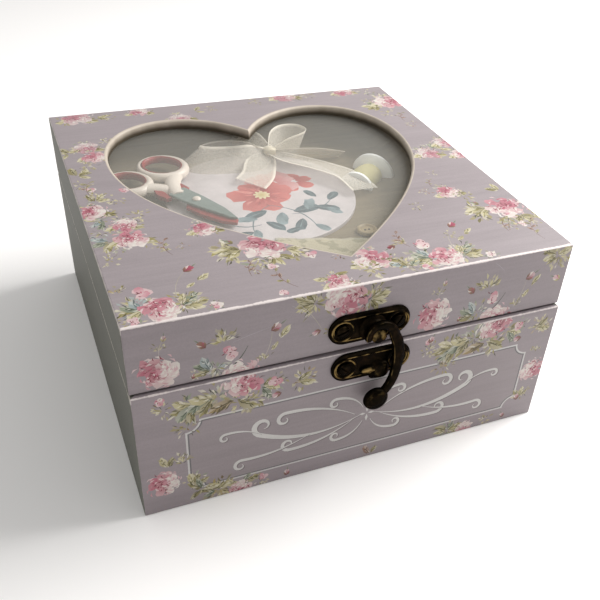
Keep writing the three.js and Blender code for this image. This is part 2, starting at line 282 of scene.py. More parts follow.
def swelling(points, widths):
    """The outline of a brush line that follows the points and is as wide as told at each."""
    sides = ([], [])
    for i, point in enumerate(points):
        along = (points[min(i + 1, len(points) - 1)] - points[max(i - 1, 0)]).normalized()
        across = Vector((-along.y, along.x)) * widths[i] / 2
        sides[0].append(point + across)
        sides[1].append(point - across)
    return sides[1] + sides[0][::-1]


def bowed(start, end, bow, steps=5):
    """Points from start to end along an even curve that bulges sideways by bow."""
    start, end = Vector(start), Vector(end)
    side = Vector((start.y - end.y, end.x - start.x)).normalized() * bow * 2
    return [
        start * (1 - t) ** 2 + ((start + end) / 2 + side) * 2 * t * (1 - t) + end * t ** 2
        for t in (i / steps for i in range(steps + 1))
    ]


class Print:
    """The strokes on one face, in millimetres from its left edge and up from its lower edge."""

    def __init__(self, seed):
        self.strokes = []
        self.hand = random.Random(seed)

    def stroke(self, points, start, end, first, last):
        """Lays one shape, its points turned anticlockwise, over the earlier ones."""
        points = points if area_inside(points) > 0 else points[::-1]
        self.strokes.append((points, Vector(start), Vector(end), first, last))

    def line(self, points, width, first, last):
        middle = (len(points) - 1) / 2
        widths = [width * (1 - 0.6 * abs(i - middle) / middle) for i in range(len(points))]
        self.stroke(swelling(points, widths), points[0], points[-1], first, last)

    def petal(self, foot, angle, length, width, first, last, corners=9):
        """One rounded petal, broader towards its tip, with a slightly ragged edge."""
        along = pointing(angle)
        across = Vector((-along.y, along.x))
        points = []
        for i in range(corners):
            turn = 2 * math.pi * i / corners
            reach = (0.5 - 0.5 * math.cos(turn)) * length
            half = width / 2 * math.sin(turn) * (0.6 + 0.55 * reach / length)
            ragged = 1 + self.hand.uniform(-0.09, 0.09)
            points.append(foot + along * reach * ragged + across * half * ragged)
        self.stroke(points, foot, foot + along * length, first, last)

    def touch(self, foot, angle, length, width, first, last, bow=0.0):
        """One touch of a pointed brush, slightly bowed. Short ones are plain lozenges."""
        along = pointing(angle)
        across = Vector((-along.y, along.x))
        points = []
        outline = ((0, 0), (0.3, 0.42), (0.68, 0.5), (1, 0), (0.68, -0.5), (0.3, -0.42))
        if length < 4.5:
            outline = ((0, 0), (0.5, 0.54), (1, 0), (0.5, -0.54))
        for share, half in outline:
            sag = bow * length * 4 * share * (1 - share)
            points.append(foot + along * length * share + across * (half * width + sag))
        self.stroke(points, foot, foot + along * length, first, last)

    def rose(self, x, y, radius, lit=-20, faded=0.0):
        """A cabbage rose: ragged petals in washes, then curled touches, deep on its shaded side."""
        middle = Vector((x, y))
        light = math.radians(lit)
        hand = self.hand

        def side_colour(angle, dark, pale):
            lift = 0.5 + 0.5 * math.cos(angle - light) + hand.uniform(-0.2, 0.2)
            return blended(blended(dark, pale, min(1, max(0, lift))), ground, faded)

        rich = hand.uniform(0.1, 0.5)
        self.petal(middle - Vector((radius * 0.5, 0)), 0, radius, radius,
                   blended(petal_deep, petal_pink, 0.4), blended(petal_pink, petal_pale, 0.5), 12)
        for count, foot, length, width in ((9, 0.34, 0.66, 0.6), (7, 0.14, 0.52, 0.5)):
            first_turn = hand.uniform(0, 6.28)
            for k in range(count):
                angle = first_turn + 2 * math.pi * k / count + hand.uniform(-0.3, 0.3)
                away = pointing(angle)
                self.petal(middle + away * foot * radius, angle,
                           length * radius * hand.uniform(0.7, 1.2), width * radius * hand.uniform(0.7, 1.2),
                           side_colour(angle, blended(petal_deep, petal_core, rich * 0.7), petal_pale),
                           side_colour(angle, blended(petal_pink, petal_deep, rich), cream), 11)
        for reach, count, width in (
                (0.95, 12, 0.09), (0.76, 13, 0.11), (0.56, 12, 0.12), (0.38, 9, 0.12), (0.2, 7, 0.12)):
            first_turn = hand.uniform(0, 6.28)
            for k in range(count):
                angle = first_turn + 2 * math.pi * k / count + hand.uniform(-0.3, 0.3)
                away = pointing(angle)
                depth = 1 - reach
                dark = blended(petal_pink, petal_core, min(1, depth * 1.4))
                tone = side_colour(angle, dark, blended(petal_pale, petal_deep, depth * 0.8))
                if hand.random() < 0.38:
                    tone = side_colour(angle, petal_pale, cream)
                size = radius * hand.uniform(0.25, 0.5) * (0.5 + reach * 0.5)
                start = middle + away * reach * radius * hand.uniform(0.86, 1.08)
                self.touch(start, angle + math.pi / 2 + hand.uniform(-0.5, 0.5), size, width * radius,
                           tone, blended(tone, cream, 0.15), -0.18)
        for k in range(20):
            angle = light + math.pi + hand.uniform(-2.2, 2.2)
            away = pointing(angle)
            shadow = blended(petal_core, bramble, 0.6)
            dark = blended(hand.choice((petal_deep, petal_core, petal_core, shadow)), ground, faded)
            place = middle + away * radius * hand.uniform(0.0, 0.85)
            self.touch(place, angle + hand.choice((0.3, 1.6)) + hand.uniform(-0.6, 0.6),
                       radius * hand.uniform(0.14, 0.4), radius * hand.uniform(0.04, 0.085), dark, dark, 0.2)
        for k in range(11):
            angle = light + hand.uniform(-1.2, 1.2)
            away = pointing(angle)
            self.touch(middle + away * radius * hand.uniform(0.3, 0.95), angle + hand.uniform(0.8, 2.2),
                       radius * hand.uniform(0.16, 0.34), radius * 0.1, cream, cream, 0.12)

    def leaf(self, x, y, angle, length, tones):
        """A pointed leaf: two soft halves, then loose light and dark touches across them."""
        hand = self.hand
        foot = Vector((x, y))
        turn = math.radians(angle)
        way = pointing(turn)
        tip = foot + way * length
        bend = hand.uniform(-0.1, 0.1) * length
        rib = bowed(foot, tip, bend, 4)
        dark = blended(tones[0], moss, 0.7)
        pale, paler = blended(tones[1], cream, 0.4), blended(tones[1], cream, 0.75)
        halves = ((1, blended(*tones, 0.4), tones[1]), (-1, blended(*tones, 0.7), pale))
        for side, first, last in halves:
            edge = bowed(foot, tip, bend + side * 0.26 * length * hand.uniform(0.6, 1.1), 4)
            for place in edge[1:4]:
                place += way * hand.uniform(-0.08, 0.08) * length
            self.stroke(rib + edge[3:0:-1], foot, tip, blended(first, ground, 0.15), last)
        for i in range(11):
            place = rib[0].lerp(rib[4], hand.uniform(-0.05, 0.7))
            side = hand.choice((-1, 1))
            tone = hand.choice((dark, dark, tones[0], paler, pale))
            self.touch(place, turn + side * hand.uniform(0.15, 0.75), length * hand.uniform(0.2, 0.42),
                       length * hand.uniform(0.05, 0.09), tone, blended(tone, tones[1], 0.4), side * 0.08)
        self.touch(foot, turn, length * 0.75, length * 0.05, dark, tones[0], bend / length)

    def leaves(self, x, y, spray):
        """Leaves that fan out from one point: each has an angle, a length and its tones."""
        for angle, length, tones in spray:
            away = math.radians(angle)
            self.leaf(x + math.cos(away) * 0.8, y + math.sin(away) * 0.8, angle, length, tones)

    def tuft(self, x, y, reach, palette, count=26, start=0, end=360):
        """Feathery foliage: touches that spring outward from one place, dark ones among pale ones."""
        hand = self.hand
        middle = Vector((x, y))
        for k in range(count):
            angle = math.radians(hand.uniform(start, end))
            away = pointing(angle)
            tone = hand.choice(palette)
            share = k / count
            if share < 0.3:
                first = blended(tone[1], ground, hand.uniform(0.2, 0.6))
            elif share < 0.8:
                first = hand.choice((tone[0], tone[1], tone[1], blended(tone[1], cream, 0.6)))
            else:
                first = blended(tone[0], moss, hand.uniform(0.5, 1))
            breadth = (0.2, 0.12, 0.06)[0 if share < 0.3 else 1 if share < 0.8 else 2]
            last = blended(first, hand.choice((tone[1], ground, cream)), hand.uniform(0.1, 0.6))
            self.touch(middle + away * reach * hand.uniform(0.0, 0.66), angle + hand.uniform(-0.7, 0.7),
                       reach * hand.uniform(0.24, 0.46),
                       reach * breadth * hand.uniform(0.7, 1.2), first, last,
                       hand.uniform(-0.15, 0.15))

    def blossom(self, x, y, radius, dark=petal_core):
        """A small pale rose seen from the side, with a dark throat."""
        hand = self.hand
        middle = Vector((x, y))
        for k in range(6):
            angle = hand.uniform(0, 6.28)
            away = pointing(angle)
            self.petal(middle - away * radius * 0.2, angle, radius * hand.uniform(0.8, 1.2), radius * 0.9,
                       petal_pale, hand.choice((cream, petal_pale, petal_pink)), 9)
        for k in range(9):
            angle = hand.uniform(0, 6.28)
            away = pointing(angle)
            tone = hand.choice((dark, petal_deep, petal_pink, cream, blended(dark, bramble, 0.5)))
            self.touch(middle + away * radius * hand.uniform(0, 0.7), hand.uniform(0, 6.28),
                       radius * hand.uniform(0.25, 0.5), radius * 0.12, tone, tone, 0.12)

    def bud(self, x, y, angle, length, tones=(petal_core, petal_pale), husk=russet):
        """A closed bud, dark at its foot and pale at its tip, in its husk."""
        turn = math.radians(angle)
        foot = Vector((x, y))
        self.petal(foot, turn, length, 0.6 * length, tones[0], tones[1], 8)
        self.touch(foot, turn + 0.3, 0.95 * length, 0.24 * length, tones[1], cream, 0.08)
        self.touch(foot, turn - 0.32, 0.8 * length, 0.2 * length, tones[0], petal_deep, -0.08)
        for side in (-0.6, 0.55):
            self.touch(foot, turn + side, 0.72 * length, 0.24 * length, husk[0], husk[1])
        self.touch(foot + pointing(turn) * 0.8 * length, turn + 0.1, 0.7 * length,
                   0.12 * length, sage[0], sage[1])

    def twig(self, x, y, away, bow, width=0.4, tones=(pigment(206, 196, 190), pigment(186, 178, 160))):
        self.line(bowed((x, y), (x + away[0], y + away[1]), bow), width, *tones)

    def sprig(self, x, y, angle=100, length=15, tones=russet):
        """A thin twig with small leaves or hips along it."""
        turn = math.radians(angle)
        foot = Vector((x, y))
        tip = foot + pointing(turn) * length
        path = bowed(foot, tip, 0.12 * length, 6)
        self.line(path, 0.32, tones[0], tones[1])
        for i in (2, 3, 4, 5, 6):
            side = 55 if i % 2 else -55
            self.leaf(path[i].x, path[i].y, angle + side * self.hand.uniform(0.6, 1.2),
                      length * self.hand.uniform(0.18, 0.28), self.hand.choice((tones, olive)))

    def small_rose(self, x, y, radius, lit=-60, faded=0.0):
        """A rose of its own in three tufts and two leaves."""
        for place, tones in ((200, fresh), (-25, mossy), (100, (spring, sage))):
            foot = pointing(math.radians(place)) * radius * 0.7
            self.tuft(x + foot.x, y + foot.y, radius * 0.95, tones, 16, place - 70, place + 70)
        self.leaves(x, y, ((200, radius * 1.5, spring), (-30, radius * 1.5, olive)))
        self.rose(x, y, radius, lit, faded)

    def lay(self, x, y, rows):
        """Draws one thing for each row, at the row's own distance to the right and up."""
        for kind, right, up, *rest in rows:
            getattr(self, kind)(x + right, y + up, *rest)


# Board making
# Every wall, and the top, is a board with softly rounded outer edges that meets its
# neighbours in mitres, so that the paint runs round each corner without a joint.

def ordered_loops(mesh):
    """The open edges of a flat mesh as closed rings of vertices."""
    follow = {}
    for edge in mesh.edges:
        if len(edge.link_faces) == 1:
            corner = edge.link_loops[0]
            follow[corner.vert] = (corner.link_loop_next.vert, corner)
    rings = []
    while follow:
        start = next(iter(follow))
        ring, at = [], start
        while at in follow:
            after, corner = follow.pop(at)
            ring.append((at, corner))
            at = after
        rings.append(ring)
    return rings


def holds(outline, place):
    """Whether a flat outline goes round a place."""
    inside = False
    for a, b in zip(outline, outline[1:] + outline[:1]):
        if (a.y > place.y) != (b.y > place.y):
            if place.x < a.x + (b.x - a.x) * (place.y - a.y) / (b.y - a.y):
                inside = not inside
    return inside


def cut_face(mesh, tint, shapes, strokes, coat, windowed):
    """Fills the first shape with triangles cut along every stroke, but not the second if windowed."""
    shapes = shapes + [points for points, *_ in strokes]
    points, faces = [], []
    for shape in shapes:
        faces.append(list(range(len(points), len(points) + len(shape))))
        points.extend(shape)
    flat, _, triangles, _, _, owners = delaunay_2d_cdt(points, [], faces, 1, 1e-4, True)
    under = 2 if windowed else 1
    corners = [mesh.verts.new((p.x, p.y, 0)) for p in flat]
    for triangle, owner in zip(triangles, owners):
        if 0 not in owner or (windowed and 1 in owner):
            continue
        face = mesh.faces.new([corners[i] for i in triangle])
        middle = face.calc_center_median()
        layers = [i - under for i in sorted(owner, reverse=True) if i >= under]
        upper = next((i for i in layers if holds(strokes[i][0], middle)), None)
        for loop in face.loops:
            loop[tint] = coat
            if upper is not None:
                _, start, end, first, last = strokes[upper]
                run = end - start
                share = (loop.vert.co.xy - start).dot(run) / max(run.length_squared, 1e-6)
                loop[tint] = blended(first, last, min(1, max(0, share)))
    bare = [vert for vert in mesh.verts if not vert.link_faces]
    bmesh.ops.delete(mesh, geom=bare, context="VERTS")
    mesh.normal_update()


def finished(name, mesh, finishes, smooth=40, body="lid", replaced=()):
    """Turns a bmesh drawn in millimetres into a piece of the object."""
    bmesh.ops.scale(mesh, vec=(0.001, 0.001, 0.001), verts=mesh.verts)
    bmesh.ops.recalc_face_normals(mesh, faces=mesh.faces)
    data = bpy.data.meshes.new(name)
    mesh.to_mesh(data)
    mesh.free()
    data.polygons.foreach_set("use_smooth", [True] * len(data.polygons))
    data.set_sharp_from_angle(angle=math.radians(smooth))
    for finish in finishes:
        data.materials.append(finish.material)
    made = placed(name, data)
    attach(made, body)
    if replaced:
        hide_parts(*replaced)
    return made


def make_board(name, size, corner, across, upright, thickness, lower_edge, finishes, replaced,
               strokes=(), coat=ground, window=()):
    """A board drawn from its lower left corner as seen from outside, in millimetres."""
    width, height = size
    rounding, hold, back_ease = 0.8, 0.06, 0.35
    window_rounding = 1.3

    def inset(kind, depth):
        """How far the skin lies inside the sharp corner at this depth."""
        if kind == "mitre" and depth > rounding * (1 - math.sqrt(0.5)):
            return depth
        if depth >= rounding:
            return back_ease if depth >= thickness else 0
        return rounding - math.sqrt(rounding ** 2 - (rounding - depth) ** 2)

    def frame_at(depth):
        side = inset("mitre", depth)
        return side, width - side, inset(lower_edge, depth), height - inset(upper_edge, depth)

    upper_edge = "mitre"
    if lower_edge == "round both":
        lower_edge = upper_edge = "round"
    left, far, low, top = frame_at(0)
    left, far, low, top = left + hold, far - hold, low + hold, top - hold

    shapes = [[Vector(p) for p in ((left, low), (far, low), (far, top), (left, top))]]
    if window:
        count = len(window)
        outward = []
        for i in range(count):
            before, here, after = window[i - 1], window[i], window[(i + 1) % count]
            one, two = (here - before).normalized(), (after - here).normalized()
            normal = Vector((one.y + two.y, -one.x - two.x)).normalized()
            outward.append(normal / max(0.3, normal.dot(Vector((one.y, -one.x)))))
        rim = [here + away * hold for here, away in zip(window, outward)]
        shapes.append(rim)
    mesh = bmesh.new()
    tint = mesh.loops.layers.float_color.new("print")
    cut_face(mesh, tint, shapes, strokes, coat, bool(window))

    # Rings of skin over the rounded edges, down the sides, and a flat back.
    steps = [rounding * (1 - math.cos(math.radians(angle))) for angle in range(0, 91, 15)]
    depths = steps + [rounding + hold, thickness - back_ease, thickness]
    last_rings = []
    for ring in ordered_loops(mesh):
        outer = any(abs(vert.co.x - left) < 1e-3 for vert, _ in ring)
        colours = [(loop[tint][:], loop.link_loop_next[tint][:]) for _, loop in ring]
        if outer:
            route = []
            for depth in depths:
                west, east, south, north = frame_at(depth)
                route.append([
                    ((vert.co.x - left) / (far - left) * (east - west) + west,
                     (vert.co.y - low) / (top - low) * (north - south) + south,
                     depth) for vert, _ in ring])
        else:
            seats = []
            for vert, _ in ring:
                side, share, best = 0, 0, 1e9
                for i in range(len(rim)):
                    near, run = rim[i], rim[(i + 1) % len(rim)] - rim[i]
                    t = min(1, max(0, (vert.co.xy - near).dot(run) / run.length_squared))
                    gap = (near + run * t - vert.co.xy).length
                    if gap < best:
                        side, share, best = i, t, gap
                seats.append((side, (side + 1) % len(rim), share))
            bends = [math.radians(angle) for angle in range(0, 91, 15)]
            moves = [(-window_rounding * math.sin(b), window_rounding * (1 - math.cos(b))) for b in bends]
            moves += [(-window_rounding, window_rounding + hold), (-window_rounding, thickness)]
            route = []
            for out, depth in moves:
                line = [here + away * out for here, away in zip(window, outward)]
                route.append([(*line[i].lerp(line[j], share), depth) for i, j, share in seats])
        here = [vert for vert, _ in ring]
        for level, places in enumerate(route):
            there = [mesh.verts.new(place) for place in places]
            for i in range(len(here)):
                j = (i + 1) % len(here)
                face = mesh.faces.new((here[j], here[i], there[i], there[j]))
                ends = colours[i]
                if outer:
                    face.material_index = 0 if level <= len(steps) - 1 else 1
                    shades = (ends[1], ends[0], ends[0], ends[1]) if level < 3 else (coat,) * 4
                else:
                    face.material_index = 2
                    shades = (cream,) * 4
                for loop, shade in zip(face.loops, shades):
                    loop[tint] = shade
            here = there
        last_rings.append(here)
    outline, rings = [], []
    for ring in sorted(last_rings, key=lambda ring: min(vert.co.x for vert in ring)):
        rings.append(list(range(len(outline), len(outline) + len(ring))))
        outline.extend(ring if area_inside([vert.co for vert in ring]) > 0 else ring[::-1])
    _, _, triangles, sources, _, owners = delaunay_2d_cdt(
        [vert.co.xy for vert in outline], [], rings, 1, 1e-5, True)
    for triangle, owner in zip(triangles, owners):
        if owner == [0]:
            face = mesh.faces.new([outline[sources[i][0]] for i in triangle])
            face.material_index = 3
            for loop in face.loops:
                loop[tint] = coat

    mesh.transform(Matrix((across, upright, upright.cross(across))).transposed().to_4x4())
    bmesh.ops.translate(mesh, verts=mesh.verts, vec=corner)
    finished(name, mesh, finishes, 35, name.split("_")[0], (replaced,))


def edge_distance(finish, lowest, highest):
    """How far a point on a box's skin is from the box's nearest edge, in metres."""
    a, b, c = (
        (far - near) / 2 - abs(here - (near + far) / 2)
        for here, near, far in zip(finish.axes(), lowest, highest))
    return a.least(b).most(a.most(b).least(c))


def add_wear(finish, colour, lowest, highest, worn_colour, front_breadth):
    """Lays a thin pale line of rubbed paint along the edges, and a ragged band on the front one."""
    distance = edge_distance(finish, lowest, highest)
    _, y, z = finish.axes()
    ragged = finish.noise(900, 4) * 0.0009 + finish.noise(110, 3) * 0.0012 - 0.00095
    near_top = finish.ramp(z, highest[2] - 0.0035, highest[2] - 0.0015)
    thin = finish.ramp(0.0003 + near_top * 0.0002 - distance - ragged * 0.5, -0.00015, 0.00015)
    behind, below = y - lowest[1], highest[2] - z
    band = behind * (0.0006 / front_breadth) + below * 1.3
    broad = finish.ramp(0.0007 - band - ragged * 0.7, -0.00012, 0.00016)
    rubbed = (thin * (0.3 + near_top * 0.55)).most(broad * 0.95)
    return finish.mix(colour, worn_colour, rubbed), rubbed


def printed_finish(name, lowest, highest, front_breadth):
    """Satin printed paper over board: faint brushed streaks, soft mottling, rubbed edges."""
    finish = Finish(name, {"Roughness": 0.5, "IOR": 1.45, "Coat Weight": 0.12, "Coat Roughness": 0.3})
    paint = finish.kept("print")
    streaks = finish.noise(140, 4, (0.12, 1, 1), 0.65)
    mottle = finish.noise(26, 3)
    speckle = finish.noise(1400, 2)
    hairs = finish.noise(520, 3, (0.05, 1, 1), 0.6)
    tone = 0.34 + streaks * 0.13 + hairs * 0.1 + mottle * 0.08 + speckle * 0.1
    colour, rubbed = add_wear(finish, finish.shade(paint, tone), lowest, highest,
                              pigment(206, 197, 194), front_breadth)
    relief = streaks * 0.4 + speckle * 0.5 + rubbed * -0.8
    finish.feed({
        "Base Color": colour,
        "Roughness": 0.4 + streaks * 0.16 + rubbed * 0.2,
        "Normal": finish.bump(relief, 0.00012, 0.5),
    })
    return finish


def painted_finish(name, lowest, highest, front_breadth):
    """Thin grey-green paint dragged down the sides, with the grain of the board in it."""
    finish = Finish(name, {"Roughness": 0.6, "IOR": 1.45})
    drag = finish.noise(120, 5, (1, 1, 0.07), 0.7)
    cloud = finish.noise(18, 3)
    fine = finish.noise(1100, 2)
    grain = finish.ramp(drag * 0.6 + fine * 0.4, 0.3, 0.7)
    colour = finish.mix(pigment(66, 69, 60), pigment(104, 106, 95), grain)
    colour = finish.mix(colour, pigment(98, 94, 86), cloud * 0.6)
    colour, rubbed = add_wear(finish, colour, lowest, highest, pigment(186, 180, 170), front_breadth)
    finish.feed({
        "Base Color": finish.shade(colour, 0.92 + fine * 0.14),
        "Roughness": 0.5 + drag * 0.2,
        "Normal": finish.bump(drag * 0.7 + fine * 0.3, 0.0002, 0.5),
    })
    return finish


def lining_finish(name):
    """Matt off-white paint brushed over the bare board inside."""
    finish = Finish(name, {"Roughness": 0.75, "IOR": 1.4})
    brushed = finish.noise(90, 4, (0.15, 1, 1), 0.6)
    fine = finish.noise(900, 3)
    colour = finish.mix(pigment(202, 193, 180), pigment(218, 210, 198), finish.ramp(brushed, 0.25, 0.75))
    finish.feed({
        "Base Color": finish.shade(colour, 0.94 + fine * 0.12),
        "Roughness": 0.68 + brushed * 0.14,
        "Normal": finish.bump(brushed * 0.6 + fine * 0.4, 0.00015, 0.5),
    })
    return finish


# Base walls
# Four 6.5 mm boards. The front carries the print with a plain label panel printed in it;
# the sides and back are painted grey-green.

base_top = 68
base_low, base_high = (-0.1, -0.102, 0), (0.1, 0.102, base_top / 1000)
base_print = printed_finish("base_print", base_low, base_high, 0.0005)
base_paint = painted_finish("base_paint", base_low, base_high, 0.0004)
cut_edge = Finish("cut_edge", {"Roughness": 0.55, "IOR": 1.45})
cut_grain = cut_edge.noise(160, 4, (1, 1, 0.3))
cut_height = cut_edge.axes()[2] + cut_grain * 0.0008
glass_level, top_level = 0.0966, 0.1
# Painted shade: the cut edge goes from cream paint at the top to deep brown at the glass, standing in for the
# shadow under the lip.
cut_painted_shade_ramp = cut_edge.ramp(cut_height, glass_level, top_level)
cream_coat = cut_edge.mix(pigment(158, 148, 134), pigment(184, 174, 162), cut_grain)
cut_edge.feed({
    "Base Color": cut_edge.mix(pigment(58, 49, 34), cream_coat, cut_painted_shade_ramp),
    "Normal": cut_edge.bump(cut_grain, 0.0001, 0.4),
})
inside_paint = lining_finish("inside_paint")

base_picture = Print(11)
front_ground = pigment(173, 161, 165)
label = pigment(172, 160, 163)
label_line = pigment(232, 228, 226)
label_shadow = pigment(126, 122, 124)
label_shade = pigment(142, 130, 132)
label_white = pigment(236, 233, 229)
label_low, label_high, label_left, label_right = 8.9, 50.0, 20.2, 187.2


def notched(margin):
    """The label's outline, its corners scooped out, drawn in by a margin."""
    scoop = 6.2 + margin
    left, right = label_left + margin, label_right - margin
    low, high = label_low + margin, label_high - margin
    outline = []
    for cx, cy, first in (
            (label_left, label_low, 90), (label_right, label_low, 180),
            (label_right, label_high, 270), (label_left, label_high, 0)):
        for step in range(9):
            angle = math.radians(first - 90 * step / 8)
            x, y = cx + scoop * math.cos(angle), cy + scoop * math.sin(angle)
            outline.append(Vector((min(max(x, left), right), min(max(y, low), high))))
    return outline


# Print on the base's front
# Clusters hang over the label's upper corners, with loose roses at its sides and foot. The
# label itself is plain but for its thin double outline and a mirrored scroll.

for margin, tone in ((0, label_line), (0.85, label_shadow), (1.5, label)):
    base_picture.stroke(notched(margin), (0, 0), (1, 0), tone, tone)
scroll_middle = Vector(((label_left + label_right) / 2, (label_low + label_high) / 2))


def scroll(start, end, bow, width, curl=0.0):
    """A swelling pen stroke of the label's ornament, on its own shadow, and the same mirrored."""
    path = bowed(start, end, bow, 14)
    if curl:
        way = (path[-1] - path[-2]).normalized()
        radius, at = abs(curl), path[-1]
        for step in range(16):
            turn = 0.36 * (1 if curl > 0 else -1)
            way = Matrix.Rotation(turn, 2) @ way
            radius *= 0.93
            at = at + way * radius * 0.36
            path.append(at)
    for mirrored in (1, -1):
        for away, tone in ((Vector((0.5, -0.45)), label_shade), (Vector((0, 0)), label_white)):
            places = [Vector((p.x * mirrored, p.y)) + scroll_middle + away for p in path]
            last = len(places) - 1
            widths = [0.22 + width * math.sin(math.pi * i / last) ** 1.5 for i in range(last + 1)]
            base_picture.stroke(swelling(places, widths), places[0], places[-1], tone, tone)


for start, end, bow, width, curl in (
        ((3, 0), (52, 3), -6, 2.3, 5.5), ((6, 1), (40, 12), 3, 1.6, -4), ((6, -1), (38, -11), -3, 1.6, 4),
        ((28, -4.2), (60, -10), -2.4, 1.4, -3.6), ((2, 4), (16, 13), 2.5, 1.3, -3),
        ((2, -4), (15, -12.5), -2.5, 1.3, 3),
        ((51, 3.4), (67, 8), 1.6, 1.1, -2.6)):
    scroll(start, end, bow, width, curl)
for k in range(4):
    angle = math.pi / 2 * k
    foot = scroll_middle + pointing(angle) * 0.6
    base_picture.touch(foot, angle, 4.2 if k % 2 else 3.2, 1.3, label_white, label_white)
ochre = (pigment(108, 88, 44), pigment(180, 154, 98))
base_cluster = (
    ("tuft", -24, -21, 7, (olive, straw), 30),
    ("tuft", -22, -11, 10, (sage, olive, spring), 60),
    ("tuft", -10, -8, 10, mixed, 56),
    ("tuft", 2, -14, 9, mossy, 46),
    ("tuft", 14, -7, 7, (sage, olive), 30),
    ("tuft", 27, -9, 7.5, (spring, (pigment(150, 124, 70), pigment(206, 186, 134))), 34),
    ("tuft", -33, -9, 6, mossy, 26),
    ("leaves", -20, -10, ((190, 10, olive), (160, 9, spring), (225, 10, sage), (255, 9, olive))),
    ("leaves", -12, -8, ((205, 12, sage), (235, 11, olive), (172, 10, spring))),
    ("leaves", -3, -12, ((200, 12, ochre), (330, 11, olive))),
    ("leaves", 8, -8, ((-20, 8, spring), (25, 7, olive), (-60, 8, sage))),
    ("rose", 0, -2.5, 8.6, 150),
    ("blossom", 14, -6.5, 3.6),
    ("blossom", -34, -4, 2.8),
    ("bud", 17, -14, 190, 4.6, (petal_core, petal_pale), russet),
    ("leaves", 24, -10, ((-10, 8, spring), (35, 7, olive))),
)
base_loose = (
    ("tuft", 18, 27, 7, fresh, 24, 20, 170),
    ("tuft", 23, 14, 7, mixed, 34),
    ("tuft", 34, 5, 10, (straw, olive, spring), 60),
    ("tuft", 52, 3, 6, fresh, 24),
    ("blossom", 54, 6, 2.6),
    ("tuft", 191, 16, 6, fresh, 26),
    ("tuft", 193, 42, 5, fresh, 18, 40, 150),
    ("tuft", 150, 3, 8, mixed, 44),
    ("tuft", 172, 4, 6, fresh, 24),
    ("leaves", 22, 12, ((100, 7, spring), (60, 6, olive), (20, 7, olive))),
    ("leaves", 32, 5, ((170, 8, olive), (200, 6, sage), (30, 7, spring), (80, 5, olive))),
    ("leaves", 12, 26, ((110, 7, spring), (70, 6, olive))),
    ("leaves", 26, 8, ((140, 8, olive), (110, 7, sage), (220, 7, olive), (0, 7, spring))),
    ("leaves", 44, 5, ((160, 7, spring), (20, 8, olive), (50, 6, sage))),
    ("rose", 10, 17.5, 7, -20),
    ("rose", 43, 1.5, 5.5, 60),
    ("rose", 194, 31, 7, 160),
    ("leaves", 190, 14, ((80, 6, spring), (130, 6, olive), (40, 5, olive))),
    ("bud", 189, 12, 100, 4.5),
    ("leaves", 150, 3, (
        (150, 8, olive), (175, 7, spring), (20, 8, olive), (60, 6, sage), (-10, 7, spring))),
    ("rose", 160, 1, 5, 80),
    ("bud", 65, 2, 80, 4),
    ("bud", 183, 2, 110, 3.6),
    ("leaves", 108, 1, ((120, 7, russet), (60, 5, olive))),
    ("bud", 131, 63, 60, 4),
)
for cluster_x in (45, 165):
    base_picture.lay(cluster_x, base_top, base_cluster)
base_picture.lay(0, 0, base_loose)

x_axis, y_axis, z_axis = Vector((1, 0, 0)), Vector((0, 1, 0)), Vector((0, 0, 1))
wall_thickness = 6.5


def make_walls(body, ending, low, size, lower_edge, front, others, strokes):
    """Four walls round a box, each drawn from its lower left corner as seen from outside."""
    (x, y, z), (width, depth, height) = low, size
    for side, start, across, run in (
            ("front", (x, y, z), x_axis, width), ("right", (x + width, y, z), y_axis, depth),
            ("back", (x + width, y + depth, z), -x_axis, width), ("left", (x, y + depth, z), -y_axis, depth)):
        make_board(f"{body}_{side}_wall", (run, height), start, across, z_axis, wall_thickness, lower_edge,
                   (*(front if side == "front" else others), inside_paint), f"{body}_{side}_{ending}",
                   strokes if side == "front" else (), front_ground)


make_walls("base", "board", (-100, -102, 0), (200, 204, base_top), "round both",
           (base_print, base_print, base_paint), (base_paint,) * 3, base_picture.strokes)

# Base floor
# A thin board let in between the four walls and glued to them, painted pale inside like the
# rest of the lining.


def refinish(node, finish):
    """Gives one of the CAD model's own pieces its finish."""
    node.data.materials.clear()
    node.data.materials.append(finish.material)


refinish(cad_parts["base_floor_board"], lining_finish("floor_paint"))

# Lid rim
# Four boards round the lid, glued in mitres under the top. The front one carries the print on
# over the split, and the others are painted like the base.

lid_low, lid_high = (-0.1, -0.1004, 0.0687), (0.1, 0.102, 0.1005)
lid_print = printed_finish("lid_print", lid_low, lid_high, 0.0012)
lid_paint = painted_finish("lid_paint", lid_low, lid_high, 0.0004)

lid_picture = Print(23)
lid_top, back_edge = 31.8, 202.4
lid_cluster = (
    ("tuft", 13, -13, 4.5, fresh, 16, 30, 150),
    ("rose", 12, -23, 8.2, -10),
    ("twig", 13, -15, (2, 7), 0.5),
    ("bud", 15, -9, 80, 3, (russet[0], petal_pale), spring),
    ("tuft", 38, -15, 8, fresh, 40, 20, 170),
    ("bud", 31, -16, 130, 4.6, (petal_core, russet[1]), russet),
    ("tuft", 35, -27, 8, (slate, sage, olive), 44),
    ("tuft", 27, -29, 4, fresh, 16),
    ("bud", 25, -30, 60, 2.6, (petal_core, petal_deep), russet),
    ("leaves", 33, -28, ((150, 8, sage), (115, 8, slate), (185, 7, olive))),
    ("blossom", 41, -21, 4.6),
    ("twig", 40, -29, (8, 10), -0.8, 0.5, (moss, sage[0])),
    ("rose", 45, -33, 8, 100),
    ("tuft", 55, -28, 5, fresh, 22, 20, 160),
    ("twig", 54, -28, (4, 14), -1.0),
    ("bud", 57.5, -14, 30, 5.4),
    ("leaves", 61, -19, ((55, 7, spring), (235, 5, spring))),
)
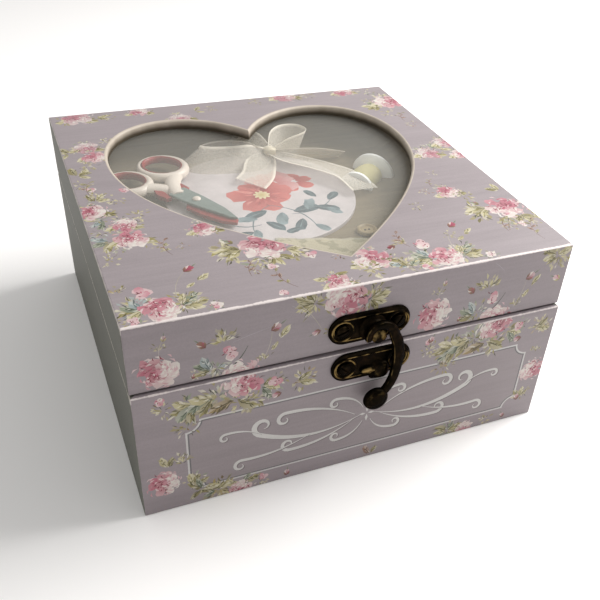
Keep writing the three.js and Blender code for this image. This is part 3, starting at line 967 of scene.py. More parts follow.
lid_loose = (
    ("tuft", 76, 27, 10, fresh, 50),
    ("tuft", 101, 25, 10, (spring, olive, sage), 50),
    ("tuft", 193, 27, 9, fresh, 44),
    ("tuft", 84, 13, 5, mossy, 18),
    ("leaves", 76, 27, ((150, 9, spring), (185, 8, olive), (120, 7, olive), (210, 6, spring))),
    ("leaves", 100, 24, ((-20, 8, spring), (10, 9, spring), (-60, 7, olive), (40, 6, olive))),
    ("rose", 90, 26, 9.4, 130),
    ("bud", 79, 13, 200, 4),
    ("twig", 70, 27, (10, -15), 0.8),
    ("leaves", 192, 28, ((160, 8, olive), (190, 7, spring), (20, 7, spring), (220, 6, olive))),
    ("bud", 197, 14, 150, 4.6, (petal_pink, petal_pale), spring),
)
for cluster_x in (0, 120):
    lid_picture.lay(cluster_x, lid_top, lid_cluster)
lid_picture.lay(0, 0, lid_loose)
for start, end in (((42, 16), (61, 20.5)), ((159, 30), (165, 24.5)), ((66, 28), (75, 20))):
    lid_picture.line(bowed(start, end, 0.2), 0.2, pigment(206, 198, 203), pigment(190, 180, 186))

make_walls("lid", "rail", (-100, -100.4, 68.7), (200, back_edge, lid_top), "round",
           (lid_print, lid_paint, lid_paint), (lid_paint,) * 3, lid_picture.strokes)

# Lid top
# One board glued over the rim, with the heart sawn out of it. The cut edge is rounded over
# and painted cream, with painted shade towards the glass. Its print repeats every 122 mm.

heart_width, heart_length, heart_cleft = 160, 164, 26


def heart_points(steps):
    """The heart round from its tip, in the top face's own millimetres."""
    half = heart_width / 2
    widest = 0.7 * heart_length
    low = (0, 0), (0.76 * half, 0.28 * heart_length), (half, 0.5 * heart_length), (half, widest)
    high = (
        (half, widest), (half, 1.025 * heart_length),
        (0.32 * half, 1.085 * heart_length), (0, heart_length - heart_cleft),
    )
    right_side = []
    for four in (low, high):
        a, b, c, d = (Vector(p) for p in four)
        for step in range(steps):
            t = step / steps
            s = 1 - t
            right_side.append(a * s ** 3 + b * 3 * s * s * t + c * 3 * s * t * t + d * t ** 3)
    right_side.append(Vector(high[3]))
    outline = right_side + [Vector((-p.x, p.y)) for p in right_side[-2:0:-1]]
    middle = Vector((0, heart_length / 2))
    turn = Matrix.Rotation(math.radians(0.6), 2)
    return [turn @ (p - middle) + middle + Vector((99.6, 20.6)) for p in outline]


top_picture = Print(37)

main_cluster = (
    ("tuft", -13, 0, 11, fresh, 52, 90, 270),
    ("tuft", -4, -9, 9, mixed, 38, 170, 370),
    ("tuft", 11, -7, 9, fresh, 44, -120, 60),
    ("tuft", -8, -16, 5, (russet, olive), 18),
    ("leaves", -9, 1, ((178, 12, spring), (155, 8, olive), (200, 9, olive), (222, 8, spring))),
    ("leaves", 2, -8, ((-70, 8, spring), (-30, 9, olive), (-115, 8, olive))),
    ("leaves", 9, -4, ((-10, 8, spring), (-45, 7, spring))),
    ("blossom", -1, -16, 3),
    ("blossom", 18, -12, 3.2),
    ("bud", -11, 6, 130, 4.4, (russet[0], sage[1]), olive),
    ("rose", 0, 0, 9.6, -120),
)
corner_cluster = (
    ("tuft", -9, 1, 10, (sage, olive, slate, spring), 56),
    ("tuft", 10, 1, 9, mixed, 50),
    ("tuft", -13, 14, 6, (olive, (pigment(130, 106, 52), pigment(196, 172, 106))), 26, 20, 180),
    ("tuft", -12, -6, 6, mossy, 26),
    ("tuft", 20, -6, 5, (spring, sage), 20),
    ("leaves", -6, 0, ((180, 9, olive), (150, 9, sage), (210, 8, spring), (120, 8, slate))),
    ("leaves", 8, -2, ((10, 10, olive), (48, 10, sage), (-20, 8, spring), (75, 8, spring))),
    ("bud", -17, 14, 200, 4.4, (russet[0], petal_core), russet),
    ("blossom", -11, -6, 3),
    ("blossom", 20, -5, 3),
    ("rose", 0, -1, 8, -60),
    ("blossom", -5, 11, 5),
)
bud_stem = (
    ("twig", -7, -24, (6, 23), 3),
    ("bud", -1, -1, 35, 5.4, (petal_core, petal_deep), russet),
    ("leaves", 2, -9, ((35, 7, spring), (215, 5, spring))),
    ("tuft", -5, -20, 5, (spring, olive, sage), 26),
)
print_repeat = 122
for shift in (0, print_repeat):
    top_picture.lay(67 + shift, back_edge - 163, main_cluster)
    top_picture.lay(17 + shift, back_edge - 193, corner_cluster)
    top_picture.lay(32 + shift, back_edge - 171, bud_stem)
    top_picture.sprig(56 + shift, back_edge - 183, 70, 12)
    top_picture.small_rose(48 + shift, back_edge - 141, 5.8)
top_under = (
    ("sprig", 71, -196, 110, 14),
    ("leaves", 86, -194.4, ((170, 7, spring), (20, 8, olive))),
    ("small_rose", 88, -198, 5.6),
    ("small_rose", 108, -186, 8, -150, 0.05),
    ("leaves", 120, -196.4, ((140, 8, slate), (40, 8, sage), (100, 7, olive))),
    ("sprig", 128, -182, 95, 12),
    ("sprig", 190, -194, 80, 16),
    ("leaves", 8, -120, ((100, 9, olive), (260, 9, sage), (170, 7, spring), (230, 8, slate))),
    ("leaves", 8, -140, ((200, 8, sage), (250, 9, olive), (150, 8, slate))),
)
top_picture.lay(0, back_edge, top_under)
for x, y, reach, tones in (
        (5, 86, 6, mossy), (9, 100, 7, fresh), (17, 104, 6, mossy),
        (5, 120, 7, (olive, sage)), (24, 121, 7, fresh), (6, 133, 7, (sage, slate, olive)),
        (11, 147, 6, (sage, olive)), (5, 155, 6, fresh), (27, 150, 6, fresh),
        (23, 40, 6, fresh), (10, 66, 7, mossy), (22, 64, 6, fresh),
        (36, 152, 4, (russet, olive)), (60, 142, 5, fresh), (92, 148, 6, fresh),
        (182, 22, 6, fresh), (186, 42, 7, fresh), (192, 60, 5, (russet, spring)),
        (186, 90, 6, (sage, spring)), (160, 137, 5, (spring, russet)), (176, 146, 7, fresh),
        (194, 178, 6, fresh), (104, 193, 9, mossy), (120, 194, 8, mossy),
        (96, 178, 5, (olive, russet)), (150, 178, 5, fresh), (172, 120, 4, fresh),
        (148, 150, 5, mossy), (30, 8, 6, fresh), (88, 10, 5, fresh),
        (116, 6, 6, fresh), (150, 4, 6, mossy), (187, 8, 6, (spring, sage))):
    top_picture.tuft(x, back_edge - y, reach, tones, int(reach * 3.2))
for x, y, radius in (
        (22, 96, 3), (8, 92, 3), (150, 132, 2.4), (30, 44, 2.6), (186, 168, 3), (197, 160, 3),
        (64, 198, 2.6)):
    top_picture.blossom(x, back_edge - y, radius)
top_over = (
    ("small_rose", 16.5, -141, 7.6, -90),
    ("small_rose", 16, -128, 5.8, 60),
    ("sprig", 30, -158, 95, 12),
    ("small_rose", 5, -113, 7, -30),
    ("leaves", 8, -104, ((60, 8, spring), (110, 8, olive), (10, 6, spring))),
    ("sprig", 7, -98, 85, 14),
    ("leaves", 4, -76, ((50, 8, spring), (100, 9, olive), (20, 7, olive), (-30, 6, spring))),
    ("small_rose", 13, -45, 6.2, 100, 0.25),
    ("small_rose", 15.5, -57, 6.2, -40),
    ("leaves", 4, -50, ((120, 8, olive), (170, 6, spring), (230, 7, spring))),
    ("small_rose", 14, -6, 8, -60, 0.25),
    ("leaves", 24, -8, ((20, 7, spring), (-20, 6, olive))),
    ("small_rose", 48, -5, 5.6, 30, 0.15),
    ("small_rose", 68, -19.5, 6.4, 80, 0.35),
    ("leaves", 78, -12, ((60, 7, olive), (-20, 5, spring))),
    ("small_rose", 135, -3, 7.2, 30, 0.25),
    ("small_rose", 173, -4, 6.2, 60, 0.1),
    ("leaves", 184, -30, ((170, 9, spring), (210, 8, olive), (120, 7, sage), (240, 7, olive))),
    ("small_rose", 194, -25, 9.6, 150),
    ("sprig", 190, -55, 70, 12),
    ("small_rose", 182, -98, 6.6, 140, 0.25),
    ("leaves", 190, -95, ((60, 8, spring), (110, 7, sage), (-20, 7, spring))),
    ("small_rose", 197, -88, 6, 160, 0.2),
    ("small_rose", 198, -104, 5, 160, 0.1),
    ("sprig", 165, -134, 70, 8),
    ("leaves", 196, -147, ((100, 7, spring), (150, 7, olive))),
)
top_picture.lay(0, back_edge, top_over)

make_board("lid_top_board", (200, back_edge), (-100, -100.4, 100.5), x_axis, y_axis, 5, "mitre",
           (lid_print, lid_paint, cut_edge, inside_paint), "lid_top_panel", top_picture.strokes,
           window=heart_points(26))

# Window pane
# A square of clear glass glued to the underside of the top, behind the heart. It has only
# the faint grey haze of light on it.

glass = Finish("window_glass", {
    "Base Color": pigment(206, 205, 198), "Roughness": 0.05, "IOR": 1.45, "Alpha": 0.12})
refinish(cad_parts["window_pane"], glass)


# Display backing
# The board that closes the case from below, painted on the side that shows in the open lid.
# Brownish linen covers its upper face and is coved up the walls of the case all round.

backing_low, backing_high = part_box("display_backing")
backing_top = backing_high.z * 1000
linen = Finish("linen", {"Roughness": 0.85, "IOR": 1.4, "Sheen Weight": 0.25})
*linen_flat, linen_height = linen.axes()
thread_spacing = 0.0011
threads = []
for along in linen_flat:
    wander = linen.noise(60, 2) * 1.4
    threads.append((along * (2 * math.pi / thread_spacing) + wander).maths("SINE"))
weave = threads[0] * 0.25 + threads[1] * 0.25 + 0.5
slub = linen.noise(300, 3, (0.1, 1, 1))
linen_cloth_tone = linen.ramp(weave * 0.3 + slub * 0.8, 0.25, 0.85)
linen_colour = linen.mix(pigment(103, 90, 66), pigment(128, 115, 88), linen_cloth_tone)
cove_foot, cove_head = 0.079, 0.092
# Painted shade: the linen darkens as it rises up the cove to the walls, where the rim above shades it.
linen_painted_shade = linen.ramp(linen_height, cove_foot, cove_head, 1, 0.4) * (0.9 + linen.noise(30, 2) * 0.2)
linen.feed({
    "Base Color": linen.shade(linen_colour, linen_painted_shade),
})
refinish(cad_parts["display_backing"], lining_finish("backing_paint"))


def stack(mesh, rings, closed=(True, True), material=0, ring_closed=True):
    """Skins a row of rings of points, all with the same count, and caps its two ends."""
    rows = [[mesh.verts.new(p) for p in ring] for ring in rings]
    count = len(rows[0])
    for one, two in zip(rows, rows[1:]):
        for i in range(count if ring_closed else count - 1):
            j = (i + 1) % count
            mesh.faces.new((one[i], one[j], two[j], two[i])).material_index = material
    for row, wanted in ((rows[0][::-1], closed[0]), (rows[-1], closed[1])):
        if wanted:
            mesh.faces.new(row).material_index = material
    return rows


def even_turns(count):
    """The angles of this many equal steps round a circle."""
    return [2 * math.pi * k / count for k in range(count)]


def turned(mesh, profile, centre, sides, material=0):
    """A shape turned on a lathe about a vertical axis: its profile is radius and height."""
    x, y, z = centre
    stack(mesh, [
        [(x + radius * math.cos(t), y + radius * math.sin(t), z + height) for t in even_turns(sides)]
        for radius, height in profile], material=material)


linen_cloth = bmesh.new()
west, south = backing_low.x * 1000 + 0.1, backing_low.y * 1000 + 0.1
east, north = backing_high.x * 1000 - 0.1, backing_high.y * 1000 - 0.1
stack(linen_cloth, [
    [(west, south, z), (east, south, z), (east, north, z), (west, north, z)]
    for z in (backing_top - 0.05, backing_top + 0.3)])
cove_top, cove_reach, cove_rise, case_corner = 92.6, 14, 13, 16
cove = [(0.1, cove_top), (0.5, cove_top)]
for step in range(0, 91, 9):
    out, up = 1 - math.cos(math.radians(step)), 1 - math.sin(math.radians(step))
    cove.append((0.5 + cove_reach * out, backing_top + 0.3 + cove_rise * up))
cove += [(14.5, backing_top + 0.1), (0.1, backing_top + 0.1), (0.1, cove_top)]
cove_rings = []
for inset, z in cove:
    ring = []
    for cx, cy, first in (
            (east - case_corner, north - case_corner, 0), (west + case_corner, north - case_corner, 90),
            (west + case_corner, south + case_corner, 180), (east - case_corner, south + case_corner, 270)):
        for step in range(9):
            angle = math.radians(first + 90 * step / 8)
            reach = case_corner - inset
            ring.append((cx + reach * math.cos(angle), cy + reach * math.sin(angle), z))
    cove_rings.append(ring)
cove_rows = stack(linen_cloth, cove_rings, closed=(False, False))
bmesh.ops.remove_doubles(linen_cloth, verts=cove_rows[0] + cove_rows[-1], dist=1e-4)
finished("display_linen", linen_cloth, [linen], smooth=30)
display_floor = backing_top + 0.3

# Round card
# A stiff white card 100 mm across, glued to the linen. It is printed with three coral flowers
# and with blue-grey leaves and stems.

card_middle, card_radius, card_thickness = Vector((-5, 22)), 50, 2.0
card_white = pigment(222, 214, 214)
card_picture = Print(71)
coral = (pigment(172, 48, 52), pigment(219, 116, 109))
teal = (pigment(38, 60, 72), pigment(88, 116, 124))
mist = (pigment(92, 118, 126), pigment(146, 166, 170))
blush = (pigment(196, 104, 108), pigment(226, 176, 174))
flower = Vector((50, 50))
for middle, count, length, tones in (
        ((71, 60), 6, 9.5, coral), ((60, 62), 8, 12, blush), (flower, 7, 15, coral)):
    for k in range(count):
        angle = 0.3 + 2 * math.pi * k / count + card_picture.hand.uniform(-0.2, 0.2)
        foot = Vector(middle) + pointing(angle) * 2
        card_picture.petal(foot, angle, length * card_picture.hand.uniform(0.8, 1.15),
                           length * card_picture.hand.uniform(0.8, 1.05), tones[0], tones[1], 14)
for k in range(26):
    angle = card_picture.hand.uniform(0, 6.28)
    foot = flower + pointing(angle) * card_picture.hand.uniform(3, 10)
    tone = card_picture.hand.choice((coral[0], pigment(236, 160, 150), pigment(150, 34, 40), coral[1]))
    card_picture.touch(foot, angle, 6, 1.6, tone, coral[1], card_picture.hand.uniform(-0.2, 0.2))
for angle in even_turns(9):
    card_picture.petal(flower, angle, 4.6, 2.4, pigment(214, 190, 120), pigment(244, 232, 190), 7)
for start, end, bow in (
        ((50, 38), (66, 10), 5), ((50, 38), (34, 12), -4), ((58, 26), (84, 36), -4), ((40, 20), (24, 26), 3)):
    card_picture.line(bowed(start, end, bow, 8), 0.9, mist[0], mist[0])
for x, y, angle, length, tones in (
        (47, 33, 200, 13, teal), (40, 26, 170, 11, mist), (43, 22, 305, 12, teal), (54, 29, 250, 13, mist),
        (60, 28, 10, 15, teal), (62, 20, 240, 12, teal), (68, 28, 65, 12, mist), (72, 30, 335, 13, teal),
        (82, 35, 45, 10, teal), (66, 13, 300, 10, mist), (77, 40, 110, 9, teal), (78, 28, 300, 10, mist),
        (34, 14, 190, 12, teal), (36, 16, 260, 9, mist), (26, 26, 150, 10, mist), (58, 12, 200, 9, teal)):
    turn = math.radians(angle)
    foot = Vector((x, y))
    card_picture.petal(foot, turn, length, 0.55 * length, tones[0], tones[1], 11)
    card_picture.touch(foot, turn + 0.2, 0.8 * length, 0.2 * length, tones[1], tones[0], 0.08)
    card_picture.touch(foot, turn, 0.9 * length, 0.04 * length, mist[0], mist[1])
card_mesh = bmesh.new()
card_tint = card_mesh.loops.layers.float_color.new("print")
card_flat = card_radius - 0.6
card_rim = [
    Vector((card_radius + card_flat * math.cos(t), card_radius + card_flat * math.sin(t)))
    for t in even_turns(96)]
cut_face(card_mesh, card_tint, [card_rim], card_picture.strokes, card_white, False)
for ring in ordered_loops(card_mesh):
    here = [vert for vert, _ in ring]
    middle = Vector((card_radius, card_radius))
    for grow, drop in ((0.3, 0.06), (0.52, 0.25), (0.6, 0.55), (0.6, card_thickness)):
        there = []
        for vert, _ in ring:
            away = (vert.co.xy - middle).normalized()
            there.append(card_mesh.verts.new((*(middle + away * (card_flat + grow)), -drop)))
        for i in range(len(here)):
            j = (i + 1) % len(here)
            face = card_mesh.faces.new((here[j], here[i], there[i], there[j]))
            for loop in face.loops:
                loop[card_tint] = card_white
        here = there
    for loop in card_mesh.faces.new(here[::-1]).loops:
        loop[card_tint] = card_white
bmesh.ops.translate(card_mesh, verts=card_mesh.verts, vec=(
    card_middle.x - card_radius, card_middle.y - card_radius, display_floor + card_thickness))
card_finish = Finish("card_print", {"Roughness": 0.55})
card_paint = card_finish.kept("print")
wash = card_finish.noise(120, 4)
card_finish.feed({"Base Color": card_finish.shade(card_paint, 0.56 + wash * 0.3)})
finished("round_card", card_mesh, [card_finish])
card_top = display_floor + card_thickness

# Embroidery scissors
# White moulded handles with red linings in the rings and at the neck, and short blades in
# grey-green steel, the lower one in a red guard.

screw_at = Vector((-41, 17.4))
blade_way = Vector((0.53, -0.848))
blade_side = Vector((0.848, 0.53))
scissors_z = card_top + 3.4


def on_scissors(along, side, height):
    flat = screw_at + blade_way * along + blade_side * side
    return (flat.x, flat.y, scissors_z + height)


def tube(mesh, points, radii, material=0, closed=True, flatness=1.0, sides=12):
    """A round bar through the points, with its own radius at each."""
    rings = []
    for i, point in enumerate(points):
        before = Vector(points[i - 1] if closed or i else points[0])
        after = Vector(points[(i + 1) % len(points)] if closed or i < len(points) - 1 else points[-1])
        along = (after - before).normalized()
        across = along.cross(Vector((0, 0, 1))).normalized()
        rise = across.cross(along)
        rings.append([
            Vector(point) + across * radii[i] * math.cos(t) + rise * radii[i] * flatness * math.sin(t)
            for t in even_turns(sides)])
    if closed:
        rings.append(rings[0])
    rows = stack(mesh, rings, closed=(not closed, not closed), material=material)
    if closed:
        bmesh.ops.remove_doubles(mesh, verts=rows[0] + rows[-1], dist=1e-4)


def slab(mesh, outline, low, high, material=0):
    """A flat piece with softened edges, drawn round on the scissors' own axes."""
    middle = sum((Vector(p) for p in outline), Vector((0, 0))) / len(outline)
    rings = []
    for scale, height in ((0.94, low), (1, low + 0.25), (1, high - 0.35), (0.93, high)):
        rings.append([on_scissors(*(middle + (Vector(p) - middle) * scale), height) for p in outline])
    stack(mesh, rings, material=material)


white_plastic = Finish("handle_white", {"Roughness": 0.34, "IOR": 1.46})
white_plastic.feed({
    "Base Color": white_plastic.shade(pigment(214, 204, 192), 0.86 + white_plastic.noise(200, 3) * 0.2),
})
red_grip = two_toned("handle_red", {"Roughness": 0.45, "IOR": 1.46},
                     pigment(104, 20, 22), pigment(156, 44, 42), 260)
blade_steel = Finish("blade_steel", {"Metallic": 0.15, "IOR": 1.5})
honed = blade_steel.noise(500, 4, (0.3, 1, 1))
blade_steel.feed({
    "Base Color": blade_steel.mix(pigment(92, 108, 104), pigment(128, 142, 136), honed),
    "Roughness": 0.36 + honed * 0.2,
})
around = even_turns(40)
for which, sign, ring_x, ring_y, lift, wide in (
        ("right", 1, -39.5, 15.2, 0.5, 11.4), ("left", -1, -40.5, -8.6, -0.4, 10.4)):
    handle = bmesh.new()

    def ring_line(along, across, height):
        return [
            on_scissors(ring_x + along * math.cos(a), ring_y + across * math.sin(a), height)
            for a in around]

    tube(handle, ring_line(wide + 1.2, wide, lift), [2.1 + 0.5 * math.cos(a) for a in around], flatness=1.1)
    tube(handle, ring_line(wide - 0.3, wide - 1.5, lift + 0.3), [1.1] * 40, material=1, flatness=1.9)
    shank = bowed((ring_x + wide, ring_y - sign * 2), (-11, -sign * 1.6), -sign * 2, 8)
    tube(handle, [on_scissors(p.x, p.y, lift * 0.8) for p in shank],
         [4.4 - 0.08 * i for i in range(9)], closed=False, flatness=0.6)
    grip = ((-27, 4.6 * sign), (-19, 8.8 * sign), (-13, 8.2 * sign), (-12, 5.4 * sign), (-20, 3.6 * sign))
    slab(handle, grip, -1.6, 0.9, 1)
    finished(f"scissors_handle_{which}", handle, [white_plastic, red_grip])
blade = bmesh.new()
blade_outline = (
    (-17, 0), (-14, -5.2), (-4, -5.6), (8, -4.6), (24, -2.4), (27.5, -0.4), (17, 3), (0, 5), (-14, 5.6))
slab(blade, blade_outline, 0.4, 1.8)
finished("scissors_blade_upper", blade, [blade_steel], smooth=25)
guard = bmesh.new()
slab(guard, ((-4, -3), (0, -7.6), (10, -8), (23, -6), (29, -2.6), (27, 0.6), (10, -1)), -1.6, 0.2)
finished("scissors_blade_guard", guard, [red_grip], smooth=25)
pivot = bmesh.new()
turned(pivot, ((2.1, 0), (2.1, 0.5), (1.6, 1.0), (0.8, 1.25), (0.02, 1.3)), on_scissors(0, 0, 1.7), 24)
finished("scissors_screw", pivot, [white_plastic])

# Thread spool
# A small white wooden spool wound with cream thread, halved lengthways and glued to the
# linen beside the card, flat side down.

spool_from, spool_to = Vector((49, 20)), Vector((67, 35))
spool_way = (spool_to - spool_from).normalized()
spool_side = Vector((-spool_way.y, spool_way.x))
spool_length = (spool_to - spool_from).length


def spool_skin(mesh, profile, material=0):
    """Skins half rings across the spool's length; each step has a place and a radius."""
    rings = []
    for along, radius in profile:
        ring = []
        for k in range(25):
            angle = math.pi * k / 24
            flat = spool_from + spool_way * along + spool_side * radius * math.cos(angle)
            ring.append((flat.x, flat.y, display_floor + radius * 0.86 * math.sin(angle)))
        rings.append(ring)
    stack(mesh, rings, material=material)


spool = bmesh.new()
spool_skin(spool, ((0, 8.4), (0.4, 9.2), (2.2, 9.2), (3.2, 8.4), (4.6, 5.4), (4.7, 4)))
spool_skin(spool, ((spool_length - 4.8, 4), (spool_length - 4.7, 6.4), (spool_length - 2.8, 11.6),
                   (spool_length - 2.2, 12.4), (spool_length - 0.5, 12.4), (spool_length, 11.4)))
spool_white = Finish("spool_white", {"Roughness": 0.5})
spool_white.feed({
    "Base Color": spool_white.shade(pigment(240, 242, 238), 0.9 + spool_white.noise(150, 4) * 0.2),
})
finished("spool_ends", spool, [spool_white])
wound = bmesh.new()
turns = 20
thread_profile = []
for k in range(turns * 4 + 1):
    share = k / (turns * 4)
    radius = 7.0 + math.sin(math.pi * share) + 0.3 * abs(math.sin(math.pi * k / 4))
    thread_profile.append((4.4 + (spool_length - 8.8) * share, radius))
spool_skin(wound, thread_profile)
thread_finish = two_toned("cream_thread", {"Roughness": 0.7, "Sheen Weight": 0.2},
                          pigment(196, 188, 132), pigment(222, 216, 172), 300)
finished("spool_thread", wound, [thread_finish])

# Button
# A tan horn button 10 mm across, turned with a raised rim and drilled with two holes, shown as
# dark discs of painted shade on its face. It is glued to the linen near the heart's tip.

button = bmesh.new()
button_middle = Vector((34.0, -27.0, display_floor))
button_profile = (
    (4.6, 0), (5.2, 0.5), (5.2, 1.6), (4.8, 2.1), (4.2, 2.2), (3.6, 1.8), (3.2, 1.4), (0.02, 1.4))
hole_profile = ((0.62, 1.38), (0.6, 1.46), (0.02, 1.46))
turned(button, button_profile, button_middle, 40)
# Painted shade: each hole is a dark disc laid just over the face, not cut through.
for side in (-1, 1):
    turned(button, hole_profile, button_middle + Vector((side * 1.1, 0, 0)), 16, material=1)
horn = two_toned("horn", {"Roughness": 0.4, "IOR": 1.5},
                 pigment(132, 112, 76), pigment(182, 164, 124), 160, 4, (1, 0.3, 1))
hole_painted_shade = two_toned("button_hole_painted_shade", {"Roughness": 0.9}, pigment(40, 32, 22), pigment(58, 46, 32), 900)
finished("horn_button", button, [horn, hole_painted_shade])

# Folded cloth
# A scrap of cream lawn printed with faint leaves, folded over twice and tacked down at the
# heart's tip, with its fold towards the front.

cloth_width, cloth_deep, cloth_layers = 46, 20, 3
cloth_path = []
for layer_of_cloth in range(cloth_layers):
    near, far = (0, cloth_deep) if layer_of_cloth % 2 == 0 else (cloth_deep, 0)
    height = 0.5 + layer_of_cloth * 1.1
    for step in range(9):
        cloth_path.append((near + (far - near) * step / 8, height))
    if layer_of_cloth < cloth_layers - 1:
        side = 1 if layer_of_cloth % 2 == 0 else -1
        for step in range(1, 5):
            angle = math.pi * step / 5 - math.pi / 2
            cloth_path.append((far + side * 0.55 * math.cos(angle), height + 0.55 + 0.55 * math.sin(angle)))
cloth_middle, cloth_turn = Vector((5, -40.5)), Matrix.Rotation(math.radians(-17), 2)
cloth = bmesh.new()
cloth_rows, cloth_length = [], 0
for i, (deep, height) in enumerate(cloth_path):
    if i:
        cloth_length += math.dist(cloth_path[i - 1], cloth_path[i])
    row = []
    for k in range(25):
        across = cloth_width * (k / 24 - 0.5)
        wave = 0.22 * math.sin(across * 0.35 + deep * 0.1) + 0.12 * math.sin(across * 0.9 + deep * 0.4)
        flat = cloth_turn @ Vector((across, deep - cloth_deep / 2 + wave)) + cloth_middle
        row.append((flat.x, flat.y, display_floor + 0.35 + height + wave * 0.6))
    cloth_rows.append(row)
stack(cloth, cloth_rows, closed=(False, False), ring_closed=False)
lawn = Finish("lawn_cloth", {"Roughness": 0.85, "Sheen Weight": 0.3})
lawn_leaves = lawn.ramp(lawn.noise(150, 3), 0.52, 0.6)
lawn_threads = lawn.noise(1500, 2, (1, 0.3, 1))
lawn_colour = lawn.mix(pigment(172, 163, 134), pigment(122, 118, 84), lawn_leaves * 0.7)
lawn.feed({
    "Base Color": lawn.shade(lawn_colour, 0.86 + lawn_threads * 0.2),
    "Normal": lawn.bump(lawn_threads, 0.0001, 0.5),
})


def thicken(sheet, thickness):
    """Gives a sheet its thickness, half of it on each side."""
    skin = sheet.modifiers.new("thickness", "SOLIDIFY")
    skin.thickness = thickness
    skin.offset = 0


made = finished("folded_cloth", cloth, [lawn], smooth=60)
thicken(made, 0.0003)

# Ribbon bow
# A sheer ivory ribbon 18 mm wide, tied in a loose bow at the card's top, with one tail over
# its right side and one across its upper part.

sheer = Finish("sheer_ribbon", {"Roughness": 0.6, "Sheen Weight": 0.4})
sheer_threads = sheer.noise(2200, 2, (1, 0.3, 1))
selvedge = sheer.kept("selvedge", "Fac")
sheer.feed({
    "Base Color": sheer.shade(pigment(242, 235, 220), 0.9 + sheer_threads * 0.14),
    "Alpha": 0.15 + sheer_threads * 0.26 + selvedge * 0.38,
})
ribbon_width = 18
bow_knot = Vector((12, 58.5, 85))


def strip(mesh, points, tilt):
    """A ribbon along the points: tilt turns its width from upright, 0, to lying flat, 1."""
    rows = []
    length = 0
    for i, point in enumerate(points):
        before, after = points[max(i - 1, 0)], points[min(i + 1, len(points) - 1)]
        along = (after - before).normalized()
        if i:
            length += (point - points[i - 1]).length
        flat = along.cross(Vector((0, 0, 1))).normalized()
        rise = flat.cross(along).normalized()
        angle = math.pi / 2 * tilt
        across = rise * math.cos(angle) + flat * math.sin(angle)
        pinch = 1 - 0.55 * math.exp(-((point - bow_knot).length / 7) ** 2)
        places = (-0.5, -0.46, -0.4, -0.2, 0, 0.2, 0.4, 0.46, 0.5)
        rows.append([point + across * ribbon_width * share * pinch for share in places])
    for row in stack(mesh, rows, closed=(False, False), ring_closed=False):
        for vert in row[:2] + row[-2:]:
            vert[mesh.verts.layers.float["selvedge"]] = 1
    return length


def curve(stations, steps=10):
    """A smooth line through the stations."""
    points = []
    for i in range(len(stations) - 1):
        a = stations[max(i - 1, 0)]
        b, c = stations[i], stations[i + 1]
        d = stations[min(i + 2, len(stations) - 1)]
        for step in range(steps):
            t = step / steps
            square, cube = 2 * a - 5 * b + 4 * c - d, 3 * b - a - 3 * c + d
            points.append(0.5 * (2 * b + (c - a) * t + square * t ** 2 + cube * t ** 3))
    points.append(stations[-1])
    return points


def from_knot(*places):
    return [bow_knot + Vector(place) for place in places]


bow = bmesh.new()
bow.verts.layers.float.new("selvedge")
ribbon_length = 0
for stations, tilt in (
        (from_knot((0, 0, 0), (-10, 10, 0.2), (-24, 15, 0.2), (-37, 14, -0.2), (-44, 8, -0.4), (-40, 1, -0.6),
                   (-27, -3, -0.8), (-12, -4, -0.6), (0, 0, 0)), -0.5),
        (from_knot((0, 0, 0), (6, 9, 0), (13, 14, 0.2), (20, 13, 0.2), (22, 8, 0), (16, 4, 0), (7, 1, 0),
                   (0, 0, 0)), -0.2),
        (from_knot((0, 0, 0.4), (-7, 8, 0.8), (-13, 17, 0.6), (-15, 24, 0.2)), 0.4),
        (from_knot((0, 0, 1), (13, -3, 1), (27, -5, 0.2), (41, -9, -1.6)), 0.62),
        (from_knot((0, 0, 0.6), (11, -10, -0.4), (23, -21, -1), (33, -35, -1.2), (37, -50, -3.2)), 0.9),
        (from_knot((0, 0, 0.2), (-8, -9, -1.2), (-13, -19, -2.6), (-20, -27, -3.2)), 0.92)):
    ribbon_length += strip(bow, curve(stations), tilt)
made = finished("ribbon_bow", bow, [sheer], smooth=60)
thicken(made, 0.00015)
wrap = bmesh.new()
knot_rings = []
for k in range(9):
    share = k / 8
    swell = 2.6 + 1.2 * math.sin(math.pi * share)
    place = bow_knot + Vector((-3 + 6 * share, 1.6 - 3.2 * share, 1))
    knot_rings.append([
        place + Vector((0.3 * math.cos(t), 0.9 * math.cos(t), 0.8 * math.sin(t))) * swell
        for t in even_turns(20)])
stack(wrap, knot_rings)
satin = two_toned("ribbon_knot", {"Roughness": 0.55, "Sheen Weight": 0.4},
                  pigment(186, 176, 150), pigment(224, 216, 194), 260, 3, (1, 0.3, 1))
finished("ribbon_knot", wrap, [satin], smooth=60)

# Aged bronze
# All the metal is cast zinc with a nearly black bronze finish, rubbed to a dull gold on its
# raised lines. How far it is rubbed is kept on each piece, where the piece has such lines.

bronze = Finish("aged_bronze", {
    "Metallic": 0.9, "IOR": 1.5, "Specular Tint": pigment(176, 154, 126)})
rubbed_share = bronze.kept("rubbed", "Fac")
tarnish = bronze.noise(420, 4, (1, 1, 1), 0.6)
grit = bronze.noise(2400, 2)
patches = bronze.ramp(bronze.noise(230, 3), 0.34, 0.62)
rubbing = bronze.ramp(rubbed_share * (0.3 + patches * 0.7) + tarnish * 0.5 - 0.25, 0.3, 1.05)
dark_bronze = bronze.mix(pigment(7, 6, 4), pigment(25, 18, 11), bronze.ramp(tarnish, 0.42, 0.72))
bronze.feed({
    "Base Color": bronze.mix(dark_bronze, pigment(130, 108, 68), rubbing),
    "Roughness": 0.24 + tarnish * 0.16 + grit * 0.1,
    "Normal": bronze.bump(tarnish * 0.6 + grit * 0.4, 0.00012, 0.5),
})
for node_name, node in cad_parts.items():
    if "hinge" in node_name:
        refinish(node, bronze)


def cast(mesh, rings, rubbed, closed=(True, True)):
    """Skins rings of points and notes how far each ring is rubbed."""
    layer = mesh.verts.layers.float.get("rubbed") or mesh.verts.layers.float.new("rubbed")
    for row, share in zip(stack(mesh, rings, closed), rubbed):
        for vert in row:
            vert[layer] = share


